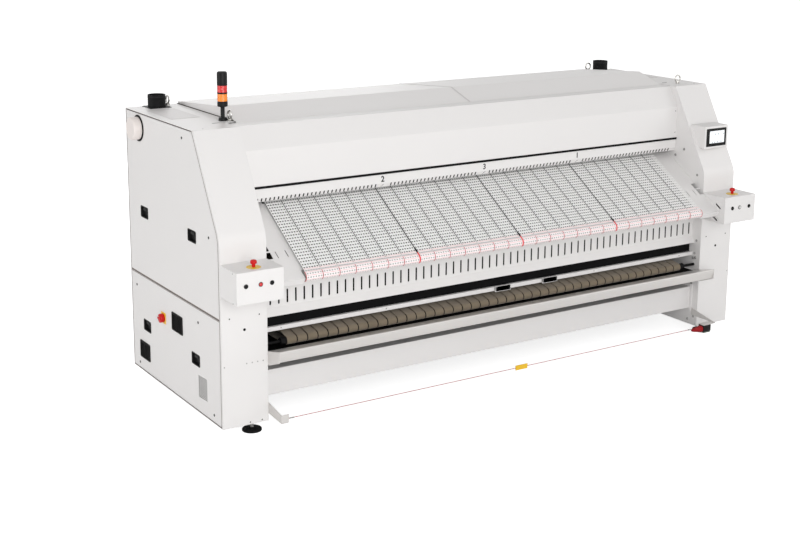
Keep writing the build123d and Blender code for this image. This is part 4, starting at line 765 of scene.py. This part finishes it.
# ---------------------------------------------------------------- ironing belts
# Forty-five endless bands of needled felt, which press the linen round the heated cylinder.
# Each goes round the nip, guide and return rollers and lies against the cylinder's front.
# The felt's own tan is made darker as well, as painted shade of the machine's inside.
felt_and_shade = coat("needled_felt", srgb(122, 110, 92), 0.95, drift=0.2, drift_size=9, grain=1100,
            relief=0.5, Sheen_Weight=0.25)
band_width, band_gap, band_count, felt_middle = 0.0668, 0.0080, 45, 0.0018
band_pitch = band_width + band_gap
band_stops = [(np.round(axle[body], 4), radius + felt_middle, way) for body, radius, way in (
    ("upper_guide", 0.050, 1), ("nip", 0.060, 1), ("cylinder", 0.400, -1),
    ("return_guide", 0.024, 1), ("lower_guide", 0.050, 1))]


def band_line():
    """Middle line of the band loop in side view, as points (y, z), with its outward normals.

    Two circles that follow each other are joined by their common tangent. Its left normal
    leans from the line between the centres by the angle whose cosine is the difference of
    the signed radii over the distance. Round a circle the points are centre + r (cos, sin).
    """
    angles = []
    for (a, r1, t1), (b, r2, t2) in zip(band_stops, band_stops[1:] + band_stops[:1]):
        dy, dz = b[0] - a[0], b[1] - a[1]
        share = max((t2 * r2 - t1 * r1) / math.hypot(dy, dz), -1)
        angles.append(math.atan2(dz, dy) + math.acos(share))
    line, normal = [], []
    for index, (centre, r, way) in enumerate(band_stops):
        first = angles[index - 1] + (math.pi if way > 0 else 0)
        last = angles[index] + (math.pi if way > 0 else 0)
        sweep = (last - first) % (2 * math.pi) if way > 0 else -((first - last) % (2 * math.pi))
        t = first + np.linspace(0, sweep, max(6, int(abs(sweep) / 0.16)))
        round_t = np.column_stack([np.cos(t), np.sin(t)])
        line.append(centre + r * round_t)
        normal.append(way * round_t)
    return np.concatenate(line), np.concatenate(normal)


def copies(part, places):
    """The same part again at each of several offsets."""
    points, faces = part
    return [(np.asarray(points) + np.array(offset, float), faces) for offset in places]


loop_line, loop_normal = band_line()
edge_x = np.array([-1, -0.975, 0.975, 1, 1, 0.975, -0.975, -1]) * band_width / 2
edge_n = np.array([0.0007, 0.0015, 0.0015, 0.0007, -0.0007, -0.0015, -0.0015, -0.0007])
band = np.empty((len(loop_line), 8, 3))
band[..., 0] = edge_x
band[..., 1:] = loop_line[:, None] + edge_n[:, None] * loop_normal[:, None]
first_band = -(band_count - 1) * band_pitch / 2
piece("ironing_belts_felt",
      copies(shell(band, rows_close=True, columns_close=True),
             [(first_band + k * band_pitch, 0, 0) for k in range(band_count)]),
      felt_and_shade, stands_for=["ironing_belts"])


# ---------------------------------------------------------------- control boxes
# On each box two black push buttons and a lamp in black bezels, and on top a red mushroom
# emergency stop on a yellow disc.
(_, button_face, _), (_, _, box_top) = corners("control_box_right")
button_z = corners("start_button_right")[:, 2].mean()
stop_x, stop_y, _ = corners("emergency_stop_right").mean(0)
lamp_x = inner + 0.155
bezel_ring = [(0.0100, 0), (0.0145, 0), (0.0145, 0.0012), (0.0138, 0.0024), (0.0125, 0.003),
              (0.0113, 0.003), (0.0112, 0.0008)]
push_cap = [(0.0080, -0.029), (0.0108, -0.004), (0.0109, 0.0046), (0.0104, 0.0056),
            (0.0092, 0.0060), (0.0082, 0.0056), (0.0040, 0.0050), (0.0006, 0.0049)]
lamp_cap = [(0.0080, -0.029), (0.0108, -0.004), (0.0109, 0.0030), (0.0100, 0.0045),
            (0.0075, 0.0056), (0.0040, 0.0060), (0.0006, 0.0060)]
bezel_places = [(x, button_face, button_z) for x in (inner + 0.080, lamp_x, inner + 0.252)]
piece("button_bezels", mirrored([turned(bezel_ring, at, "-y", 32) for at in bezel_places]),
      black_plastic, stands_for=["control_bezels"])
estop_yellow = coat("stop_disc_yellow", srgb(222, 186, 44), 0.42, drift=0.05, grain=500,
                    relief=0.03, edge=0.0006)
disc_edge = [(0.0125, 0), (0.045, 0), (0.045, 0.0014), (0.0444, 0.002), (0.0125, 0.002)]
piece("stop_discs",
      mirrored([turned(disc_edge, (stop_x, stop_y, box_top), "z", 48)]), estop_yellow)
stop_red = coat("stop_red_plastic", srgb(196, 12, 16), 0.4, grain=500, relief=0.02,
                Specular_IOR_Level=0.3)
stop_head = [(0.0095, -0.030), (0.0110, -0.028), (0.0110, 0.018), (0.0135, 0.0215),
             (0.0190, 0.0235), (0.0200, 0.0265), (0.0200, 0.0350), (0.0188, 0.0405),
             (0.0155, 0.0440), (0.0100, 0.0455), (0.0040, 0.0460), (0.0005, 0.0460)]
for side, sign in (("left", -1), ("right", 1)):
    for name in ("start", "stop"):
        middle = corners(f"{name}_button_{side}")[:, 0].mean()
        piece(f"{name}_push_{side}", [turned(push_cap, (middle, button_face, button_z), "-y", 32)],
              black_plastic, body=f"{name}_{side}",
              stands_for=[f"{name}_button_{side}"])
    piece(f"stop_mushroom_{side}",
          [turned(stop_head, (sign * stop_x, stop_y, box_top), "z", 40)], stop_red,
          body=f"estop_{side}", stands_for=[f"emergency_stop_{side}"])
lamp_red = coat("red_lamp_lens", srgb(206, 40, 44), 0.18, grain=300, relief=0.01,
                Coat_Weight=0.5)
lamp_white = coat("white_lamp_lens", srgb(214, 214, 212), 0.18, grain=300, relief=0.01,
                  Coat_Weight=0.5)
piece("box_lamp_left", [turned(lamp_cap, (-lamp_x, button_face, button_z), "-y", 32)], lamp_red,
      stands_for=["indicator_lenses"])
piece("box_lamp_right", [turned(lamp_cap, (lamp_x, button_face, button_z), "-y", 32)],
      lamp_white)


# ---------------------------------------------------------------- touch screen
# Flush glass front with a wide black border round a lit picture: a plain white page with a
# few grey fields and no words.
screen_glass = coat("black_screen_border", srgb(8, 8, 9), 0.3, drift=0.02, grain=100,
                    relief=0.0, Specular_IOR_Level=0.2)
screen_low, screen_high = corners("touch_screen")
screen_x, _, screen_z = (screen_low + screen_high) / 2
screen_width, _, screen_height = screen_high - screen_low
screen_face, glass = screen_low[1], 0.002
piece("screen_border",
      [plate((screen_x, screen_face + glass, screen_z), screen_width, screen_height, glass,
             "-y", 0.006, 0.0008)], screen_glass, stands_for=["touch_screen"])
page = bpy.data.materials.new("lit_screen_page")
page.use_nodes = True
tree = page.node_tree
shader = tree.nodes["Principled BSDF"]
shader.inputs["Roughness"].default_value = 0.15
shader.inputs["Emission Strength"].default_value = 0.22
shader.inputs["Emission Color"].default_value = (0.95, 0.98, 1.0, 1)
fields = put(tree, "TexVoronoi", ("Vector", put(tree, "TexCoord").outputs["Object"]),
             ("Scale", 34), ("Randomness", 0.35), distance="CHEBYCHEV")
chosen = put(tree, "Math", (0, fields.outputs["Distance"]), (1, 0.16), operation="LESS_THAN")
tones = put(tree, "Mix", ("Factor", chosen.outputs[0]), ("A", srgb(238, 241, 243)),
            ("B", srgb(150, 160, 166)), data_type="RGBA")
tree.links.new(tones.outputs["Result"], shader.inputs["Base Color"])
piece("screen_page",
      [plate((screen_x + 0.006, screen_face, screen_z + 0.0025), 0.152, 0.093, 0.0003, "-y",
             0.002, 0.0001)], page)


# ---------------------------------------------------------------- signal beacon
# Black plastic light column: foot, pole, body and cap, with an amber lens below a red one.
beacon = (*corners("signal_beacon").mean(0)[:2], top)
foot_and_pole = [(0.0278, 0), (0.0280, 0.004), (0.0262, 0.010), (0.0262, 0.017), (0.0235, 0.021),
                 (0.0150, 0.0225), (0.0135, 0.0260), (0.0135, 0.0840), (0.0180, 0.0900),
                 (0.0300, 0.0910), (0.0325, 0.0935), (0.0330, 0.0980), (0.0330, 0.1190),
                 (0.0322, 0.1200), (0.0322, 0.1225), (0.0330, 0.1235), (0.0330, 0.1248)]
middle_ring = [(0.0322, 0.1732), (0.0330, 0.1740), (0.0330, 0.1810), (0.0322, 0.1818)]
beacon_cap = [(0.0322, 0.2262), (0.0330, 0.2272), (0.0330, 0.2350), (0.0320, 0.2360),
              (0.0320, 0.2380), (0.0330, 0.2390), (0.0330, 0.2980), (0.0322, 0.3060),
              (0.0296, 0.3118), (0.0250, 0.3144), (0.0120, 0.3150), (0.0005, 0.3150)]
piece("beacon_column", [turned(part, beacon, "z", 40)
                        for part in (foot_and_pole, middle_ring, beacon_cap)],
      black_plastic, stands_for=["signal_beacon"])


def lens_ribs(angle, level_number):
    """Factor of the lens radius: a fine wave of sixty ribs round the lens."""
    return 1 + 0.006 * np.cos(60 * angle) + 0 * level_number


lens_amber = coat("amber_lens", srgb(252, 138, 6), 0.25, drift=0.04, grain=300, relief=0.01,
                  Coat_Weight=0.6)
lens_red = coat("red_lens", srgb(216, 14, 14), 0.25, drift=0.04, grain=300, relief=0.01,
                Coat_Weight=0.6)
for name, low, high, finish in (("amber", 0.125, 0.173, lens_amber),
                                ("red", 0.182, 0.226, lens_red)):
    lens_line = [(0.0300, low), (0.0317, low + 0.001), (0.0317, high - 0.001), (0.0300, high)]
    piece(f"beacon_lens_{name}", [turned(lens_line, beacon, "z", 240, lens_ribs)], finish)


# ---------------------------------------------------------------- exhaust ducts and eyes
# Black steel exhaust pipes with a rolled bead, each on a square flange screwed to the tower.
# Lifting eyes of bright steel are screwed into the tower tops.
black_steel = coat("black_steel", srgb(14, 14, 15), 0.55, grain=400, relief=0.06, edge=0.001,
                   Specular_IOR_Level=0.2)
mounts = {mount["name"]: mount["pos_m"] for mount in frame["record"]["mounts"]}
duct_x, duct_y, _ = mounts["right_exhaust"]
duct_wall = [(0.0570, 0.0005), (0.0600, 0.0008), (0.0600, 0.0640), (0.0612, 0.0665),
             (0.0612, 0.0700), (0.0600, 0.0725), (0.0600, 0.0815), (0.0608, 0.0835),
             (0.0602, 0.0850), (0.0585, 0.0850), (0.0572, 0.0838), (0.0570, 0.0800),
             (0.0570, 0.0010)]


def pipe(profile, centre, axis, steps=56):
    """Open turned wall: the closed profile goes once round the axis, so the middle is free."""
    points, _ = turned(profile, centre, axis, steps)
    return shell(points.reshape(len(profile), steps, 3), rows_close=True, columns_close=True)


def square_flange(centre, size, hole, steps=64):
    """Flat flange: from the hole's circle to the square's edge along the same angles."""
    t = np.linspace(0, 2 * np.pi, steps, endpoint=False)
    unit = np.column_stack([np.cos(t), np.sin(t)])
    square = unit / np.abs(unit).max(1)[:, None] * size / 2
    rows = [(hole * unit, 0.0), (square, 0.0), (square, 0.0024), (square * 0.992, 0.003),
            (hole * unit, 0.003)]
    points = np.array([np.column_stack([line, np.full(steps, z)]) for line, z in rows])
    return shell(points + np.array(centre), rows_close=True, columns_close=True)


duct_parts = [pipe(duct_wall, (duct_x, duct_y, top), "z"),
              square_flange((duct_x, duct_y, top + 0.0002), 0.150, 0.0604)]
duct_parts += [turned(steel_head, (duct_x + a, duct_y + b, top + 0.0032), "z", 16)
               for a in (-0.064, 0.064) for b in (-0.064, 0.064)]
piece("exhaust_pipes", mirrored(duct_parts), black_steel,
      stands_for=["exhaust_ducts"])
polished = coat("polished_roll_steel", srgb(196, 194, 190), 0.22, metal=1.0, grain=300,
                relief=0.03, pull=(0.02, 1, 1))
dress(polished, "lifting_eyes")


# ---------------------------------------------------------------- tower tops and roof seam
# A thin access plate lies on each tower between duct and front eye, with a flat black plate in
# front of it that is painted shade of a cable slot. A joint strip covers the seam in the middle of the roof,
# and a dark foam strip at its end is painted shadow.
top_coat = coat("top_powder_coat", srgb(214, 211, 210), 0.5, grain=420, relief=0.035, edge=0.001)
piece("access_plates", mirrored([plate((1.985, 0.420, top + 0.0002), 0.200, 0.420, 0.0012, "z",
                                       0.006, 0.0004)]), top_coat)
piece("cable_slots", mirrored([plate((1.905, -0.060, top + 0.0002), 0.050, 0.007, 0.0008, "z",
                                     0.003, 0.0002)]), black_rubber)
piece("roof_end_seal", [bar(-0.0770, 0.8310, top + 0.0002, top + 0.0026, -1.7785, -1.7712)],
      painted_shade_foam)
seam_line = [(-0.081, 1.8688), (0.150, 1.9446), (0.8320, 1.8897), (0.8320, 1.8908),
             (0.150, 1.9457), (-0.081, 1.8699)]
piece("roof_seam", [prism(seam_line, 0.034, 0.046)], top_coat)


# ---------------------------------------------------------------- grips and grilles
# Black moulded grips let into the side panels, each a rounded frame round a deep cup with a
# latch tongue, and framed air grilles with level blades over a dark filter mat.
grip_levels = [(0.0045, -0.0225), (0.0045, -0.0005), (0.0, 0.0002), (0.0, 0.0012),
               (0.0008, 0.0023), (0.0025, 0.0028), (0.0045, 0.0024), (0.0062, 0.0010),
               (0.0085, -0.0190)]
grip_parts = []
for y, z in ((-0.205, 1.205), (0.559, 1.204), (-0.219, 0.404), (0.572, 0.408)):
    grip_parts.append(rounded((half, y, z), 0.124, 0.080, "x", 0.011, grip_levels, 6))
    grip_parts.append(rounded((half - 0.018, y, z + 0.017), 0.060, 0.018, "x", 0.004,
                              [(0, 0), (0, 0.012), (0.001, 0.0135), (0.003, 0.014)]))
piece("panel_grips_moulded", mirrored(grip_parts), black_plastic,
      stands_for=["panel_grips"])
grille_black = coat("grille_black", srgb(12, 12, 12), 0.6, grain=600, relief=0.08, edge=0.0008,
                    Specular_IOR_Level=0.15)
filter_mat = coat("filter_mat", srgb(18, 18, 18), 0.98, drift=0.3, drift_size=40, grain=1300,
                  relief=0.6)
frame_levels = [(0.0092, -0.0175), (0.0092, -0.0005), (0.0, 0.0002), (0.0, 0.0035),
                (0.0012, 0.0055), (0.0028, 0.0060), (0.0100, 0.0050), (0.0112, 0.0035),
                (0.0118, -0.0120)]
blade_half, blade_rows = 0.0735, np.linspace(-0.044, 0.044, 9)
blade = np.array([(-0.0020, -0.0042), (-0.0032, -0.0036), (0.0016, 0.0048), (0.0028, 0.0042)])
grille_parts, mat_parts = [], []
for y, z in ((0.060, 0.565), (0.622, 0.218)):
    grille_parts.append(rounded((half, y, z), 0.169, 0.123, "x", 0.010, frame_levels, 6))
    for step in blade_rows:
        slat = np.array([[(half + 0.001 + u, y + side, z + step + v) for u, v in blade]
                         for side in (-blade_half, blade_half)])
        grille_parts.append(shell(slat, columns_close=True, caps=True))
    grille_parts.append(plate((half - 0.003, y, z), 0.004, 0.099, 0.006, "x", 0.001, 0.0003))
    mat_parts.append(plate((half - 0.0118, y, z), 0.144, 0.098, 0.003, "x", 0.003, 0.0008))
piece("air_grilles", mirrored(grille_parts), grille_black,
      stands_for=["filter_grilles"])
piece("filter_mats", mirrored(mat_parts), filter_mat)
# A dark grey plate behind the louvre is painted shade.
louvre_shade = coat("louvre_shadow", srgb(64, 62, 62), 0.9, grain=700, relief=0.2)
piece("louvre_mesh", mirrored([plate((half - 0.0175, -0.314, 0.241), 0.142, 0.150, 0.0012, "x")]),
      louvre_shade)


# ---------------------------------------------------------------- air caps
# Round caps of white moulded plastic over the fans' air inlets, clear of the panel on a black
# rubber ring.
cap_white = coat("cap_white_plastic", srgb(232, 224, 220), 0.4, grain=500, relief=0.03)
_, cap_y, cap_z = corners("air_caps").mean(0)
cap_line = [(0.0600, -0.0350), (0.0635, -0.0340), (0.0635, 0.0048), (0.0745, 0.0050),
            (0.0760, 0.0062), (0.0760, 0.0520), (0.0750, 0.0560), (0.0722, 0.0588),
            (0.0680, 0.0600), (0.0600, 0.0594), (0.0300, 0.0584), (0.0006, 0.0582)]
gasket_line = [(0.0640, 0.0003), (0.0880, 0.0003), (0.0880, 0.0036), (0.0872, 0.0046),
               (0.0640, 0.0047)]
piece("air_caps_moulded", mirrored([turned(cap_line, (half, cap_y, cap_z), "x", 72)]), cap_white,
      stands_for=["air_caps"])
piece("air_cap_rings", mirrored([pipe(gasket_line, (half, cap_y, cap_z), "x", 72)]), black_rubber)


# ---------------------------------------------------------------- main isolator
# Rotary isolator of the left tower: a yellow plate screwed to the panel and a red knob with a
# grip bar on the shaft of the switch behind the panel.
_, isolator_y, isolator_z = corners("isolator").mean(0)
yellow_plate = coat("isolator_yellow", srgb(242, 196, 40), 0.38, grain=400, relief=0.03,
                    edge=0.0008)
piece("isolator_plate",
      [plate((-half, isolator_y, isolator_z), 0.076, 0.076, 0.002, "-x", 0.007, 0.0008),
       plate((-half + 0.178, isolator_y, isolator_z), 0.080, 0.080, 0.070, "x", 0.004, 0.002)],
      yellow_plate, stands_for=["isolator"])
knob_line = [(0.0058, -0.2010), (0.0060, -0.0010), (0.0290, 0.0025), (0.0300, 0.0045),
             (0.0300, 0.0260), (0.0290, 0.0290), (0.0260, 0.0308), (0.0006, 0.0312)]
piece("isolator_grip",
      [turned(knob_line, (-half, isolator_y, isolator_z), "-x", 48),
       rounded((-half - 0.0300, isolator_y, isolator_z), 0.014, 0.050, "-x", 0.006,
               [(0, 0), (0, 0.0040), (0.0012, 0.0056), (0.0038, 0.0062)], 5)],
      stop_red, body="isolator_handle", stands_for=["isolator_knob"])
piece("isolator_mark",
      [rounded((-half - 0.0363, isolator_y, isolator_z + 0.016), 0.003, 0.012, "-x", 0.0012,
               [(0, 0), (0, 0.0003)])],
      white_coat, body="isolator_handle")


# ---------------------------------------------------------------- levelling feet
# Black rubber pads moulded on steel discs, each on a threaded stud with a lock nut.
foot_places = [mounts[f"{end}_right_foot"][:2] for end in ("front", "rear")]
pad_line = [(0.0560, 0.0), (0.0618, 0.0008), (0.0625, 0.0030), (0.0625, 0.0105),
            (0.0612, 0.0132), (0.0580, 0.0140), (0.0300, 0.0150), (0.0220, 0.0180),
            (0.0190, 0.0230), (0.0006, 0.0235)]
thread_heights = np.arange(0.0232, 0.0836, 0.0010)
thread = [(0.0112 + 0.0008 * (k % 2), h) for k, h in enumerate(thread_heights)]
nut_line = [(0.0122, 0.0490), (0.0185, 0.0490), (0.0195, 0.0498), (0.0195, 0.0582),
            (0.0185, 0.0590), (0.0122, 0.0590)]
piece("foot_pads", mirrored([turned(pad_line, (x, y, 0), "z", 64) for x, y in foot_places]),
      black_rubber, stands_for=["levelling_feet"])
piece("foot_studs", mirrored([turned(thread, (x, y, 0), "z", 24) for x, y in foot_places]
                             + [turned(nut_line, (x, y, 0), "z", 6) for x, y in foot_places]),
      steel)


# ---------------------------------------------------------------- rope switch
# Pull-cord switch: a black box with a clear grey-green base on the right bracket, and a dark
# red tapered head towards the rope.
switch_end = corners("rope_switch")[0, 0]
_, switch_y, switch_z = corners("rope_switch").mean(0)
switch_red = coat("switch_dark_red", srgb(150, 16, 22), 0.5, grain=500, relief=0.05,
                  Specular_IOR_Level=0.25)
base_green = coat("switch_base_grey", srgb(96, 104, 92), 0.5, grain=500, relief=0.05)
head_levels = [(0.0160, 0.0), (0.0150, 0.004), (0.0120, 0.012), (0.0080, 0.034),
               (0.0035, 0.060), (0.0010, 0.078), (0.0, 0.086), (0.0, 0.0938)]
piece("rope_switch_head",
      [rounded((switch_end, switch_y, switch_z), 0.0466, 0.0466, "x", 0.018, head_levels, 6),
       turned([(0.0105, 0), (0.0120, 0.001), (0.0120, 0.004), (0.0100, 0.005)],
              (switch_end + 0.018, switch_y, switch_z), "x", 24)], switch_red)
piece("rope_switch_box",
      [rounded((switch_end + 0.0943, switch_y, switch_z + 0.004), 0.056, 0.052, "x", 0.006,
               [(0.003, 0), (0.001, 0.0012), (0, 0.004), (0, 0.072), (0.001, 0.0748),
                (0.003, 0.076)], 5)], black_plastic,
      stands_for=["rope_switch"])
piece("rope_switch_base",
      [plate((switch_end + 0.1325, switch_y, 0.0792), 0.072, 0.052, 0.0078, "z", 0.006, 0.0012)],
      base_green)


# ---------------------------------------------------------------- frame bolts
# Zinc-plated hexagon bolts on the inner walls of the towers, where the frame
# plates, the cross beams and the feed table are fixed.
bolt_head = [(0.0075, 0.0), (0.0078, 0.0006), (0.0078, 0.0040), (0.0066, 0.0052),
             (0.0006, 0.0052)]
washer = [(0.0040, 0.0), (0.0100, 0.0), (0.0100, 0.0012), (0.0096, 0.0016), (0.0040, 0.0016)]
bolt_places = [(-0.3800, 1.4070), (-0.2905, 1.3510), (-0.5310, 1.2330), (-0.4020, 1.2090),
               (-0.5460, 0.6280), (-0.5560, 0.5950), (-0.5320, 0.5880), (-0.5060, 0.0970),
               (-0.5650, 0.1300), (-0.5300, 0.3900), (-0.5600, 0.7300)]
bolt_parts = []
for y, z in bolt_places:
    bolt_parts.append(turned(washer, (-inner, y, z), "x", 20))
    bolt_parts.append(turned(bolt_head, (-inner + 0.0012, y, z), "x", 6))
piece("frame_bolts", mirrored(bolt_parts), steel)


# ---------------------------------------------------------------- works inside
# Rollers and shafts of drawn and ground steel, painted castings, black chain and fans of
# zinc-plated sheet. They show only through the gaps and from behind.
zinc_sheet = coat("zinc_sheet", srgb(166, 168, 168), 0.42, metal=0.9, drift=0.12, drift_size=14,
                  grain=260, relief=0.05)
dress(zinc_sheet, "cabinet_plate", "fan_housings", "fan_impeller_left", "fan_impeller_right")
dress(polished, "heated_cylinder", "nip_roller", "drive_sprocket")
tube_steel = coat("drawn_tube_steel", srgb(178, 178, 176), 0.32, metal=1.0, grain=300,
                  relief=0.04, pull=(0.05, 1, 1))
dress(tube_steel, "upper_guide_roller", "lower_guide_roller",
      "feed_nose_roller", "feed_drive_roller", "linen_strippers", "burner_tube")
# The return roller is dressed in black rubber as painted shade of the machine's inside.
dress(black_rubber, "return_roller")
cast_grey = coat("grey_cast_iron", srgb(112, 114, 116), 0.6, metal=0.2, grain=420, relief=0.25)
dress(cast_grey, "bearings", "gear_motor")
dress(black_steel, "drive_chain")
